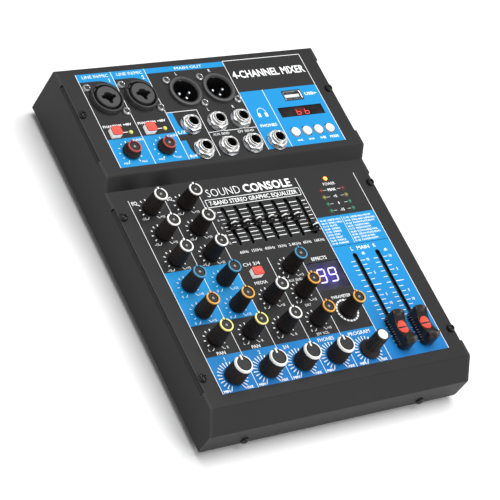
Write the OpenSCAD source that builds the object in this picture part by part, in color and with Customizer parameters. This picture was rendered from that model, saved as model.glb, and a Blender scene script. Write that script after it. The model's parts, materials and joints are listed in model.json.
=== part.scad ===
// Compact four-channel mixing console in a folded sheet-metal casing.
// Sizes are worked out from the casing's front edge: x from the middle, y towards the rear and
// z from the underside of the casing. in_frame() then moves everything so that the origin is
// on the table, under the middle of the console.

/* [Casing] */
// Width of the casing over its side walls
case_w = 200; // [198:1:206]
// Depth of the casing from the front face to the rear wall
case_d = 250; // [248:1:256]
// Height of the upright front face
front_h = 17; // [15:0.5:19]
// Height of the control panel over the underside
panel_h = 29.6; // [29:0.2:32]
// Height of the raised connector panel over the underside
raised_h = 37.9; // [37.5:0.2:40]
// Depth of the sloped front bevel
bevel_run = 11.4; // [10:0.2:13]
// Distance from the front face to the foot of the step
step_base_y = 163.5; // [163:0.1:164.5]
// Distance from the front face to the top of the step
step_top_y = 169.6; // [169:0.1:170.5]
// Thickness of the sheet metal
sheet_t = 1.2; // [1:0.1:1.3]
// Outside radius of the folds
bend_r = 2; // [1.6:0.1:2.4]
// Height of the rubber feet
foot_h = 4; // [3:0.5:6]

/* [Controls] */
// Distance between neighbouring channel columns
channel_pitch = 25.45; // [25.2:0.05:25.6]
// Distance between neighbouring rows of channel knobs
row_pitch = 18.7; // [18.5:0.1:19]
// Height of a small knob over the control panel
small_knob_h = 16; // [14:0.5:17]
// Height of a level knob over the control panel
level_knob_h = 14.3; // [13:0.1:15]
// Height of a gain knob over the connector panel
gain_knob_h = 6.4; // [6:0.1:8]
// Height of the program knob over the control panel
program_knob_h = 18.2; // [17:0.1:19]
// Travel of the main faders
fader_travel = 60; // [50:1:60]
// Travel of the graphic equaliser sliders
eq_travel = 24; // [20:1:24]
// Number of graphic equaliser bands
eq_bands = 7; // [5:1:7]

/* [Connectors] */
// Bore of the quarter-inch jacks
jack_bore_r = 3.25; // [3.2:0.05:3.3]
// Height of the quarter-inch jack barrels over the panel
jack_h = 6; // [5:0.5:7]
// Outside radius of the round connector collars
collar_r = 11.2; // [11:0.1:11.2]
// Inside radius of the output connectors
output_r = 8.9; // [8.6:0.05:9.2]

/* [Hidden] */
$fn = 48;
black = "#39393b";
knob_black = "#1b1b1d";
steel = "#c9ccd0";
board_green = "#23603b";
plastic_white = "#f2f2ee";
button_red = "#f0574a";
ring_blue = "#3a7fb5";
ring_orange = "#e0a040";
ring_yellow = "#e8e890";
play = 0.05;                       // radial running clearance of a shaft in its hole
fit_gap = 0.02;                    // gap between pressed or glued pieces, which stay separate solids
eps = 0.01;

// Casing details
panel_side_gap = 1.4;              // from the outside of a side wall to the edge of the top panel
panel_half_w = case_w / 2 - panel_side_gap;
flange_w = 10;                     // inward top flanges of the tray
relief_l = 12;                     // from a corner of the outline to the end of a flange
relief_w = 0.8;                    // slit between a flange and the upright wall beyond it
lip_h = 8;                         // upturned front and rear lips of the tray
slot_gap = 0.3;                    // clearance round buttons and displays in the top panel
board_t = 1.6;
board_drop = 10;                   // from a panel's top surface to the board hung under it
media_drop = 16;                   // the same for the media board, which carries the USB socket
connector_board_z = 12;            // top of the board that stands on the tray
main_z = panel_h - board_drop;
preamp_z = raised_h - board_drop;
media_z = raised_h - media_drop;

// Screws: positions, heads and shanks
screw_head_r = 2.75;
screw_head_h = 2.2;
low_head_h = 1.6;
screw_r = 1.5;
screw_l = 6;
case_screw_x = case_w / 2 - 4.3;
case_screw_ys = [31.8, 145, 215.3];
end_screw_x = 68;
end_screw_z = 3.55;

// Feet
foot_r = 7;
foot_inset = [18, 22];

// Knobs: [node, x, y, kind, ring colour]
col0_x = -74.5;
row0_y = 55;
level_y = 29.2;
gain_y = 184.9;
gain_dx = -0.5;
output_rows = [55, 75.6, 93.9];
function col_x(i) = col0_x + i * channel_pitch;
function row_y(j) = row0_y + j * row_pitch;
CHANNEL_ROWS = [
    ["pan", ring_yellow], ["effect", ring_orange], ["aux", ring_blue],
    ["low", plastic_white], ["mid", plastic_white], ["high", plastic_white]
];
KNOBS = concat(
    [for (c = [0, 1]) each [
        [str("ch", c + 1, "_gain_knob"), col_x(c) + gain_dx, gain_y, "gain", button_red],
        for (j = [0 : len(CHANNEL_ROWS) - 1])
            [str("ch", c + 1, "_", CHANNEL_ROWS[j][0], "_knob"), col_x(c), row_y(j), "small",
             CHANNEL_ROWS[j][1]],
        [str("ch", c + 1, "_level_knob"), col_x(c), level_y, "level", plastic_white]
    ]],
    [
        ["line_balance_knob", col_x(2), output_rows[0], "small", plastic_white],
        ["line_aux_knob", col_x(2) + 1, output_rows[1], "small", plastic_white],
        ["line_level_knob", col_x(2), level_y, "level", plastic_white],
        ["effect_return_knob", col_x(3), output_rows[0], "small", ring_orange],
        ["effect_send_knob", col_x(3), output_rows[1], "small", ring_orange],
        ["aux_send_knob", col_x(3), output_rows[2], "small", ring_blue],
        ["phones_level_knob", col_x(3), level_y, "level", plastic_white],
        ["parameter_knob", 27, 57.6, "small", ring_orange],
        ["program_knob", 27.5, 28.6, "program", plastic_white]
    ]
);

// Shared knob and potentiometer sizes
shaft_r = 3;
bore_r = shaft_r + fit_gap;        // bore of a knob
shaft_hole_r = 3.6;                // hole in the top panel
shaft_base = 1.3;                  // gap between a shaft's lower end and its board
knob_gap = 0.8;                    // gap between a knob and the panel
knob_cap_t = 2.6;                  // material over the end of the shaft
ring_h = 1;
ring_sink = 0.5;                   // the middle of a knob's face lies this far under its ring
tick_w = 1.3;
tick_out = 0.6;
pot_size = [9.5, 11, 6.5];
bushing_r = 3.45;
skirt_r = 6.8;
skirt_h = 3.2;
program_r = [4.7, 4.2];
program_rim = 0.7;                 // rim of the program knob round its coloured cap
function knob_h(kind) = kind == "level" ? level_knob_h : kind == "gain" ? gain_knob_h :
    kind == "program" ? program_knob_h : small_knob_h;
function base_r(kind) = kind == "level" ? 6.5 : kind == "gain" ? 5.8 : 5.3;
function top_r(kind) = kind == "level" ? 6 : 4.3;
function ring_w(kind) = kind == "level" ? 1.3 : 1;
function level_of(kind) = kind == "gain" ? raised_h : panel_h;

// Sliders
eq_x0 = -24.7;
eq_pitch = 9.77;
eq_y = 128.3;                      // middle of the slots
eq_rest = [-0.3, -0.3, 0.4, 0.5, -0.4, -0.4, -10];
eq_lever = [1.2, 4];
eq_cap = [5.6, 6.4, 4.6];
eq_cap_edge = 1.2;                 // upright edge at the foot of a cap
eq_cap_ridge = 1.2;                // half the depth of the flat on top of a cap
eq_frame = [8.2, 40, 7.4];
fader_xs = [54.2, 72.6];
fader_y = 62.8;
fader_rest = -27.1;
fader_lever = [1.4, 5];
fader_cap = [11.5, 24.5, 9.6];
fader_frame = [10, 86, 7.4];
fader_dish_r = 14;                 // radius of the finger dish in a fader cap
fader_waist_h = 6.6;               // height of the cap under the deepest point of the dish
slider_gap = 1.1;                  // gap between a cap and the panel
slide_clear = 0.45;                // clearance on each side of a lever
slot_extra_w = 2;                  // a slot in the panel is this much wider than its lever
lever_base = 2;                    // gap between a lever's lower end and its board

// Push buttons
phantom_xs = [-79.6, -54.3];
phantom_y = 199.5;
phantom_size = [7, 6.4];
source_pos = [-24.3, 93.3];
source_size = [7.4, 5.8];
cap_t = 0.9;                       // coloured cap on the white plunger
button_h = 3.7;
button_under = 1.6;                // how far a plunger reaches under the panel surface
stem_w = 3;
stem_l = 4.6;
switch_h = 5.2;
media_button_xs = [51.6, 61, 70.2, 79.6];
media_button_y = 184.8;
media_button_r = 3.6;
media_button_h = 1.3;
media_stem_r = 1.5;
tact_size = [6, 6, 3.5];

// Connectors
combo_xs = [-74.3, -48.9];
output_xs = [-15.3, 10.6];
connector_y = 224.1;
connector_body = 23.6;
collar_h = [2.9, 2.2];             // combo jack, output connector
screw_offset = 9.9;
annulus_r = 9.5;                   // inside of a combo jack's collar
insert_r = 8;
insert_h = 4.3;
annulus_depth = 14;
contact_r = 1.35;
contact_offset = 3.81;
contact_depth = 9;
pin_r = 1.2;
output_depth = 15;
jacks = [[-23.8, 199], [-23.3, 180], [-3.3, 199], [14.8, 199], [-4.2, 180], [14.5, 180], [33.7, 180]];
jack_body = 14.6;
barrel_r = 4.7;
washer_r = 7;
washer_t = 0.8;
nut_af = 12;                       // across the flats
nut_h = 2.6;
usb_pos = [64.75, 213.2];
usb_size = [14, 6.6];
usb_wall = 0.4;
usb_tongue = [11, 1.8];
usb_tongue_in = 0.6;               // gap between the tongue and the rear wall of the shell
usb_depth = 13;

// Displays and lights
media_display = [65.3, 200.7, 35.2, 7.4];      // x, y, width, depth
effect_display = [26.6, 84, 26, 19.8];
display_sink = 0.5;
meter_xs = [54.5, 72.3];
meter_ys = [144, 138.8, 133.5, 128.4];
power_light = [63, 152.7];
phantom_light_xs = [-67.9, -42.7];
phantom_light_y = 199.3;
light_r = 1.5;
light_up = 0.9;
light_body = 3;
leg_r = 0.25;
leg_dx = 1.27 / 2;

// Rear
inlet_x = 52;
rear_z = 20;
inlet_flange_r = 5.5;
inlet_body_r = 4;
inlet_bore_r = 2.75;
inlet_pin_r = 1;
inlet_l = 13;
rocker_x = 76;
rocker_frame = [15, 21];
rocker_hole = [9, 14.4];
rocker_depth = 10;
rocker_back = 3;
rocker_w = 8.4;
rocker_tilt = 8;
rocker_pivot_in = 2.8;             // pivot axis inside the rear wall's outer face
rocker_pivot_r = 1;

// Boards: [x low, y low, x high, y high]
main_board_box = [-90, 15, 90, 160];
connector_board_box = [-91, 172.8, 43, 240];
preamp_board_box = [-88, 173, -36, 209];
media_board_box = [45, 173, 88, 220.5];
hung_spacers = [
    [-84, 20, panel_h, board_drop], [-84, 156, panel_h, board_drop], [84, 20, panel_h, board_drop],
    [84, 156, panel_h, board_drop], [-11, 104, panel_h, board_drop], [44, 104, panel_h, board_drop],
    [-85, 176, raised_h, board_drop], [-85, 206, raised_h, board_drop],
    [-39, 176, raised_h, board_drop], [-39, 206, raised_h, board_drop],
    [48, 176, raised_h, media_drop], [85, 176, raised_h, media_drop],
    [48, 217, raised_h, media_drop], [85, 217, raised_h, media_drop]
];
floor_spacers = [[-87, 176], [-87, 237], [40, 191], [40, 237]];
spacer_r = 2.5;

// Ribbon cables and their plugs
ribbon_w = 18;
ribbon_t = 1;
plug_size = [22, 5, 3];
plug_y = 154;                      // plugs under the main board
connector_ribbon_x = -66;
media_ribbon_x = 66;
back_y = 180;                      // plugs behind the step
preamp_ribbon_y = 194;

EQ_NODES = [for (i = [0 : eq_bands - 1]) str("eq_slider_", i + 1)];
FADER_NODES = ["left_fader", "right_fader"];
PHANTOM_NODES = ["ch1_phantom_button", "ch2_phantom_button"];
MEDIA_NODES = [for (i = [1 : 4]) str("media_button_", i)];

// ---- Folded sheet: the outline of a sheet along a path, its thickness to the right of travel

function unit(v) = v / norm(v);
function right_of(a, b) = let (d = unit(b - a)) [d[1], -d[0]];
function turn(a, b, c) = let (u = unit(b - a), v = unit(c - b)) atan2(u[0] * v[1] - u[1] * v[0], u * v);
function bend(a, b, c, r) =
    let (k = r * tan(abs(turn(a, b, c)) / 2), p = b - k * unit(b - a), q = b + k * unit(c - b))
    [for (s = [0 : 0.25 : 1]) (1 - s) * (1 - s) * p + 2 * s * (1 - s) * b + s * s * q];
function rounded(path, r_right, r_left) = concat(
    [path[0]],
    [for (i = [1 : len(path) - 2])
        let (a = path[i - 1], b = path[i], c = path[i + 1])
        each bend(a, b, c, turn(a, b, c) < 0 ? r_right : r_left)],
    [path[len(path) - 1]]
);
function inner(path) = [for (i = [0 : len(path) - 1])
    let (m = i == 0 ? right_of(path[0], path[1]) : right_of(path[i - 1], path[i]),
         n = i == len(path) - 1 ? m : right_of(path[i], path[i + 1]))
    path[i] + sheet_t * (m + n) / (1 + m * n)];
function reversed(list) = [for (i = [len(list) - 1 : -1 : 0]) list[i]];

module sheet_section(path) {
    polygon(concat(
        rounded(path, bend_r, bend_r - sheet_t),
        reversed(rounded(inner(path), bend_r - sheet_t, bend_r))
    ));
}

// ---- Placing

module in_frame() {
    translate([0, -case_d / 2, foot_h]) children();
}

// A section drawn in y and z, drawn out across the console
module across(half_w) {
    translate([-half_w, 0, 0]) rotate([90, 0, 90]) linear_extrude(2 * half_w) children();
}

// A section drawn in x and z, drawn out from y0 to y1
module along(y0, y1) {
    translate([0, y1, 0]) rotate([90, 0, 0]) linear_extrude(y1 - y0) children();
}

module block(size, z0, z1) {
    translate([-size[0] / 2, -size[1] / 2, z0]) cube([size[0], size[1], z1 - z0]);
}

module rod(r, z0, z1) {
    translate([0, 0, z0]) cylinder(r = r, h = z1 - z0);
}

// A slot along y with round ends
module slot(width, length, z0, z1) {
    block([width, length - width], z0, z1);
    for (s = [-1, 1]) translate([0, s * (length - width) / 2, 0]) rod(width / 2, z0, z1);
}

function eq_pos(i) = [eq_x0 + i * eq_pitch, eq_y];
function slot_length(travel, lever) = travel + lever[1] + 2 * slide_clear;

// ---- Casing

panel_path = [
    [0, 0], [0, front_h], [bevel_run, panel_h], [step_base_y, panel_h],
    [step_top_y, raised_h], [case_d, raised_h], [case_d, 0]
];

module control_panel_holes() {
    for (k = KNOBS) if (k[3] != "gain") translate([k[1], k[2], 0]) rod(shaft_hole_r, -eps, 2 * sheet_t);
    for (i = [0 : eq_bands - 1])
        translate(eq_pos(i))
            slot(eq_lever[0] + slot_extra_w, slot_length(eq_travel, eq_lever), -eps, 2 * sheet_t);
    for (x = fader_xs)
        translate([x, fader_y])
            slot(fader_lever[0] + slot_extra_w, slot_length(fader_travel, fader_lever), -eps, 2 * sheet_t);
    translate(source_pos) block(source_size + [1, 1] * 2 * slot_gap, -eps, 2 * sheet_t);
    translate([effect_display[0], effect_display[1]])
        block([effect_display[2], effect_display[3]] + [1, 1] * slot_gap, -eps, 2 * sheet_t);
    for (x = meter_xs, y = meter_ys) translate([x, y]) rod(light_r + play, -eps, 2 * sheet_t);
    translate(power_light) rod(light_r + play, -eps, 2 * sheet_t);
    for (s = [-1, 1], y = [case_screw_ys[0], case_screw_ys[1]])
        translate([s * case_screw_x, y]) rod(screw_r, -eps, 2 * sheet_t);
}

module connector_panel_holes() {
    for (k = KNOBS) if (k[3] == "gain") translate([k[1], k[2], 0]) rod(shaft_hole_r, -eps, 2 * sheet_t);
    for (x = concat(combo_xs, output_xs)) translate([x, connector_y]) {
        rod(collar_r + play, -eps, 2 * sheet_t);
        for (s = [-1, 1]) translate([s * screw_offset, -s * screw_offset]) rod(screw_r, -eps, 2 * sheet_t);
    }
    for (p = jacks) translate(p) rod(barrel_r + play, -eps, 2 * sheet_t);
    for (x = phantom_xs) translate([x, phantom_y])
        block(phantom_size + [1, 1] * 2 * slot_gap, -eps, 2 * sheet_t);
    for (x = phantom_light_xs) translate([x, phantom_light_y]) rod(light_r + play, -eps, 2 * sheet_t);
    for (x = media_button_xs) translate([x, media_button_y]) rod(media_button_r + 0.2, -eps, 2 * sheet_t);
    translate(usb_pos) block(usb_size + [1, 1] * slot_gap, -eps, 2 * sheet_t);
    translate([media_display[0], media_display[1]])
        block([media_display[2], media_display[3]] + [1, 1] * slot_gap, -eps, 2 * sheet_t);
    for (s = [-1, 1]) translate([s * case_screw_x, case_screw_ys[2]]) rod(screw_r, -eps, 2 * sheet_t);
}

module top_panel() {
    color(black) in_frame() difference() {
        across(panel_half_w) sheet_section(panel_path);
        translate([0, 0, panel_h - sheet_t]) control_panel_holes();
        translate([0, 0, raised_h - sheet_t]) connector_panel_holes();
        for (s = [-1, 1], y = [0, case_d]) translate([s * end_screw_x, y, end_screw_z])
            rotate([90, 0, 0]) rod(screw_r, -2 * sheet_t, 2 * sheet_t);
        translate([inlet_x, case_d, rear_z]) rotate([90, 0, 0]) rod(inlet_body_r + play, -eps, 2 * sheet_t);
        translate([rocker_x, case_d, rear_z]) rotate([90, 0, 0])
            block(rocker_frame - [2, 2], -eps, 2 * sheet_t);
    }
}

// Flanges of the side walls, which the top panel lies on: [front end, rear end, top]
wall_top = panel_h - sheet_t;
raised_wall_top = raised_h - sheet_t;
flanges = [
    [bevel_run + relief_l, step_base_y - relief_l, wall_top],
    [step_top_y + relief_l, case_d - relief_l, raised_wall_top]
];

// Outline of a side wall: flush with the top panel, and cut down where a flange is folded over
module side_outline() {
    difference() {
        polygon(rounded(panel_path, bend_r, bend_r - sheet_t));
        for (f = flanges) translate([f[0] - relief_w, f[2] - bend_r])
            square([f[1] - f[0] + 2 * relief_w, bend_r + 2 * sheet_t]);
    }
}

module side_flange(y0, y1, top) {
    along(y0, y1) sheet_section([
        [-case_w / 2, top - bend_r - eps], [-case_w / 2, top], [-case_w / 2 + flange_w, top]
    ]);
}

module bottom_tray() {
    color(black) in_frame() difference() {
        union() {
            intersection() {
                along(0, case_d) sheet_section([
                    [case_w / 2, raised_h], [case_w / 2, 0], [-case_w / 2, 0], [-case_w / 2, raised_h]
                ]);
                difference() {
                    across(case_w) side_outline();
                    for (y = [-sheet_t, case_d - sheet_t]) translate([-case_w / 2 + sheet_t, y, -eps])
                        cube([case_w - 2 * sheet_t, 2 * sheet_t, raised_h]);
                }
            }
            for (y = [sheet_t, case_d - 2 * sheet_t])
                translate([-panel_half_w + 2, y, 0]) cube([2 * panel_half_w - 4, sheet_t, lip_h]);
            for (m = [0, 1], f = flanges) mirror([m, 0, 0]) side_flange(f[0], f[1], f[2]);
        }
        for (s = [-1, 1], i = [0 : 2])
            translate([s * case_screw_x, case_screw_ys[i], i < 2 ? wall_top : raised_wall_top])
                rod(screw_r, -2 * sheet_t, 1);
        for (s = [-1, 1], y = [0, case_d]) translate([s * end_screw_x, y, end_screw_z])
            rotate([90, 0, 0]) rod(screw_r, -3 * sheet_t, 3 * sheet_t);
    }
}

module rubber_feet() {
    color("#18181a") in_frame()
        for (sx = [-1, 1], sy = [-1, 1])
            translate([sx * (case_w / 2 - foot_inset[0]), case_d / 2 + sy * (case_d / 2 - foot_inset[1]), 0])
                translate([0, 0, -foot_h]) cylinder(r1 = foot_r - 1, r2 = foot_r, h = foot_h);
}

// ---- Screws

// A pan-head screw: the head over z = 0, the shank under it, a cross recess in the head
module screw(head_h, length) {
    difference() {
        union() {
            cylinder(r1 = screw_head_r, r2 = screw_head_r - 0.6, h = head_h);
            rod(screw_r, -length, eps);
        }
        for (a = [0, 90]) rotate(a) block([2.6, 0.6], head_h - 1, head_h + 1);
    }
}

module screws() {
    color(knob_black) in_frame() {
        for (s = [-1, 1], i = [0 : 2])
            translate([s * case_screw_x, case_screw_ys[i], i < 2 ? panel_h : raised_h])
                screw(screw_head_h, screw_l);
        for (s = [-1, 1]) {
            translate([s * end_screw_x, 0, end_screw_z]) rotate([90, 0, 0]) screw(low_head_h, screw_l);
            translate([s * end_screw_x, case_d, end_screw_z]) rotate([-90, 0, 0]) screw(low_head_h, screw_l);
        }
    }
    color(steel) in_frame()
        for (x = concat(combo_xs, output_xs), s = [-1, 1])
            translate([x + s * screw_offset, connector_y - s * screw_offset, raised_h])
                screw(screw_head_h, screw_l);
}

// ---- Boards and what holds them

module board(box, top) {
    translate([box[0], box[1], top - board_t]) cube([box[2] - box[0], box[3] - box[1], board_t]);
}

module circuit_boards() {
    color(board_green) in_frame() {
        board(main_board_box, main_z);
        board(preamp_board_box, preamp_z);
        board(media_board_box, media_z);
        difference() {
            board(connector_board_box, connector_board_z);
            for (p = jacks) translate(p) rod(jack_bore_r + 0.5, 0, connector_board_z + 1);
            for (x = combo_xs) translate([x, connector_y]) rod(jack_bore_r + 0.5, 0, connector_board_z + 1);
        }
    }
}

module board_spacers() {
    color("#b9a15a") in_frame() {
        for (s = hung_spacers) translate([s[0], s[1], 0]) rod(spacer_r, s[2] - s[3], s[2] - sheet_t);
        for (p = floor_spacers) translate(p) rod(spacer_r, sheet_t, connector_board_z - board_t);
    }
}

// A ribbon drawn in y and z, between the plugs at its ends
module ribbon(x, points) {
    translate([x, 0, 0]) across(ribbon_w / 2) polygon(points);
}

module plug(x, y, z) {
    translate([x, y, z]) block(plug_size, 0, plug_size[2]);
}

module ribbon_cables() {
    low = main_z - board_t - plug_size[2];
    run = low - 2 * ribbon_t;
    media_low = media_z - board_t - plug_size[2];
    connector_top = connector_board_z + plug_size[2];
    preamp_low = preamp_z - board_t - plug_size[2];
    end = low - fit_gap;
    media_end = media_low - fit_gap;
    front = back_y - plug_size[1] / 2 - fit_gap;
    color("#8f9499") in_frame() {
        ribbon(connector_ribbon_x, [
            [plug_y, end], [plug_y, run], [front, run], [front, run + ribbon_t],
            [plug_y + ribbon_t, run + ribbon_t], [plug_y + ribbon_t, end]
        ]);
        ribbon(media_ribbon_x, [
            [plug_y, end], [plug_y, run], [back_y, run], [back_y, media_end], [back_y - ribbon_t, media_end],
            [back_y - ribbon_t, run + ribbon_t], [plug_y + ribbon_t, run + ribbon_t], [plug_y + ribbon_t, end]
        ]);
        translate([connector_ribbon_x, preamp_ribbon_y, 0])
            block([ribbon_w, ribbon_t], connector_top + fit_gap, preamp_low - fit_gap);
    }
    color("#202022") in_frame() {
        plug(connector_ribbon_x, plug_y, low);
        plug(media_ribbon_x, plug_y, low);
        plug(connector_ribbon_x, back_y, connector_board_z);
        plug(media_ribbon_x, back_y, media_low);
        plug(connector_ribbon_x, preamp_ribbon_y, connector_board_z);
        plug(connector_ribbon_x, preamp_ribbon_y, preamp_low);
    }
}

// ---- Rotary controls

module rotary_pots() {
    color("#5f6f66") in_frame()
        for (k = KNOBS) translate([k[1], k[2], level_of(k[3])]) difference() {
            union() {
                block(pot_size, -board_drop, -board_drop + pot_size[2]);
                rod(bushing_r, -board_drop + pot_size[2] - eps, -sheet_t - 0.3);
            }
            rod(shaft_r + play, -board_drop + 1, 0);
        }
}

// A moulded body turned round its shaft, open below, with a ledge for the ring
module knob_body(h, base, top, ring_in) {
    rotate_extrude() polygon([
        [bore_r, knob_gap], [base, knob_gap], [base, knob_gap + 1], [top, h - ring_h], [ring_in, h - ring_h],
        [ring_in, h - ring_sink], [0, h - ring_sink], [0, h - knob_cap_t], [bore_r, h - knob_cap_t]
    ]);
}

module ring(h, top, ring_in) {
    difference() {
        union() {
            rod(top, h - ring_h + fit_gap, h);
            translate([-tick_w / 2, 0, h - ring_h + fit_gap])
                cube([tick_w, top + tick_out, ring_h - fit_gap]);
        }
        rod(ring_in + fit_gap, h - ring_h - eps, h + eps);
    }
}

module program_body(h) {
    cap_r = program_r[1] - program_rim;
    rotate_extrude() polygon([
        [bore_r, knob_gap], [skirt_r, knob_gap], [skirt_r, knob_gap + 1.2],
        [program_r[0] + 0.5, knob_gap + skirt_h], [program_r[0], knob_gap + skirt_h],
        [program_r[1], h - ring_sink], [cap_r, h - ring_sink], [cap_r, h - ring_h], [0, h - ring_h],
        [0, h - knob_cap_t], [bore_r, h - knob_cap_t]
    ]);
}

module knob(k) {
    kind = k[3];
    h = knob_h(kind);
    top = top_r(kind);
    in_frame() translate([k[1], k[2], level_of(kind)]) {
        color(steel) rod(shaft_r, -board_drop + shaft_base, h - knob_cap_t - fit_gap);
        if (kind == "program") {
            color(knob_black) program_body(h);
            color(k[4]) rod(program_r[1] - program_rim - fit_gap, h - ring_h + fit_gap, h);
        } else {
            color(knob_black) knob_body(h, base_r(kind), top, top - ring_w(kind));
            color(k[4]) ring(h, top, top - ring_w(kind));
        }
    }
}

// ---- Sliders

module slide_frame(size, lever, travel) {
    difference() {
        block(size, -board_drop, -board_drop + size[2]);
        block([lever[0] + 2 * slide_clear, slot_length(travel, lever)], -board_drop + lever_base - 0.5, 0);
    }
}

module slide_pots() {
    color("#9aa0a4") in_frame() translate([0, 0, panel_h]) {
        for (i = [0 : eq_bands - 1]) translate(eq_pos(i)) slide_frame(eq_frame, eq_lever, eq_travel);
        for (x = fader_xs) translate([x, fader_y]) slide_frame(fader_frame, fader_lever, fader_travel);
    }
}

module eq_slider(i) {
    half = eq_cap[1] / 2;
    lever_top = slider_gap + eq_cap[2] - 1.5;
    in_frame() translate([eq_pos(i)[0], eq_y + eq_rest[i], panel_h]) {
        color(steel) block(eq_lever, -board_drop + lever_base, lever_top);
        color(knob_black) difference() {
            translate([0, 0, slider_gap]) across(eq_cap[0] / 2) polygon([
                [-half, 0], [half, 0], [half, eq_cap_edge], [eq_cap_ridge, eq_cap[2]],
                [-eq_cap_ridge, eq_cap[2]], [-half, eq_cap_edge]
            ]);
            block(eq_lever + [1, 1] * 2 * fit_gap, 0, lever_top + fit_gap);
        }
    }
}

module main_fader(x) {
    dish_z = slider_gap + fader_waist_h + fader_dish_r;
    lever_top = slider_gap + fader_waist_h - 2;
    in_frame() translate([x, fader_y + fader_rest, panel_h]) {
        color(steel) block(fader_lever, -board_drop + lever_base, lever_top);
        color(knob_black) difference() {
            block(fader_cap, slider_gap, slider_gap + fader_cap[2]);
            translate([-fader_cap[0], 0, dish_z]) rotate([0, 90, 0])
                cylinder(r = fader_dish_r, h = 2 * fader_cap[0]);
            block(fader_lever + [1, 1] * 2 * fit_gap, 0, lever_top + fit_gap);
        }
    }
}

// ---- Push buttons and their switches

module square_button(size) {
    color(plastic_white) {
        block(size - [0.6, 0.6], -button_under, button_h - cap_t);
        block([stem_w, stem_w], -button_under - stem_l, -button_under);
    }
    color(button_red) block(size, button_h - cap_t + fit_gap, button_h);
}

module square_switch(size) {
    difference() {
        block(size, -board_drop, -board_drop + switch_h);
        block([stem_w, stem_w] + [0.3, 0.3], -board_drop + 1, 0);
    }
}

module push_switches() {
    color("#2c2c30") in_frame() {
        translate([source_pos[0], source_pos[1], panel_h]) square_switch([8, 8]);
        for (x = phantom_xs) translate([x, phantom_y, raised_h]) square_switch([8, 8]);
        for (x = media_button_xs) translate([x, media_button_y, media_z]) difference() {
            block(tact_size, 0, tact_size[2]);
            rod(media_stem_r + 0.1, 1, tact_size[2] + 1);
        }
    }
}

module source_button() {
    in_frame() translate([source_pos[0], source_pos[1], panel_h]) square_button(source_size);
}

module phantom_button(i) {
    in_frame() translate([phantom_xs[i], phantom_y, raised_h]) square_button(phantom_size);
}

module media_button(i) {
    color(plastic_white) in_frame() translate([media_button_xs[i], media_button_y, raised_h]) {
        rod(media_button_r, -2 * sheet_t, media_button_h);
        rod(media_stem_r, -media_drop + tact_size[2] - 0.8, -2 * sheet_t + eps);
    }
}

// ---- Connectors

module combo_jack() {
    floor_z = connector_board_z - raised_h;
    difference() {
        union() {
            block([connector_body, connector_body], floor_z, -sheet_t);
            rod(collar_r - 0.1, -sheet_t - eps, collar_h[0]);
        }
        rod(annulus_r, -annulus_depth, collar_h[0] + 1);
        rod(jack_bore_r, floor_z - 1, 0);
        for (s = [-1, 1]) translate([s * screw_offset, -s * screw_offset]) rod(screw_r, -screw_l, 0);
    }
}

module combo_insert() {
    difference() {
        rod(insert_r, -annulus_depth + fit_gap, insert_h);
        rod(jack_bore_r, -annulus_depth - 1, insert_h + 1);
        for (p = [[-1, 0], [1, 0], [0, -1]])
            translate(p * contact_offset) rod(contact_r, insert_h - contact_depth, insert_h + 1);
    }
}

module combo_jacks() {
    in_frame() for (x = combo_xs) translate([x, connector_y, raised_h]) {
        color(knob_black) combo_jack();
        color("#55565a") combo_insert();
    }
}

module output_connectors() {
    floor_z = connector_board_z - raised_h;
    in_frame() for (x = output_xs) translate([x, connector_y, raised_h]) {
        color("#48494d") difference() {
            union() {
                block([connector_body, connector_body], floor_z, -sheet_t);
                rod(collar_r, -sheet_t - eps, collar_h[1]);
            }
            rod(output_r, -output_depth, collar_h[1] + 1);
            for (s = [-1, 1]) translate([s * screw_offset, -s * screw_offset]) rod(screw_r, -screw_l, 0);
        }
        color(steel) for (p = [[-1, 0], [1, 0], [0, -1]])
            translate(p * contact_offset) rod(pin_r, -output_depth + fit_gap, -0.3);
    }
}

module phone_jacks() {
    color(steel) in_frame() for (p = jacks) translate([p[0], p[1], raised_h]) difference() {
        union() {
            block([jack_body, jack_body], connector_board_z - raised_h, -sheet_t);
            rod(barrel_r, -sheet_t - eps, jack_h - 0.5);
            translate([0, 0, jack_h - 0.5]) cylinder(r1 = barrel_r, r2 = barrel_r - 0.5, h = 0.5);
        }
        rod(jack_bore_r, connector_board_z - raised_h - 1, jack_h + 1);
    }
}

module jack_nuts() {
    color("#b4b8bd") in_frame() for (p = jacks) translate([p[0], p[1], raised_h]) {
        difference() {
            rod(washer_r, 0, washer_t);
            rod(barrel_r + fit_gap, -1, washer_t + 1);
        }
        difference() {
            translate([0, 0, washer_t + fit_gap]) cylinder(r = nut_af / sqrt(3), h = nut_h, $fn = 6);
            rod(barrel_r + fit_gap, 0, washer_t + nut_h + 1);
        }
    }
}

module usb_socket() {
    hole = usb_size - [1, 1] * 2 * usb_wall;
    in_frame() translate([usb_pos[0], usb_pos[1], raised_h]) {
        color(steel) difference() {
            block(usb_size, -media_drop, 0);
            block(hole, -usb_depth, 1);
        }
        color("#1d1d1f") translate([0, (hole[1] - usb_tongue[1]) / 2 - usb_tongue_in, 0])
            block(usb_tongue, -usb_depth + fit_gap, -1.5);
    }
}

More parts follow.
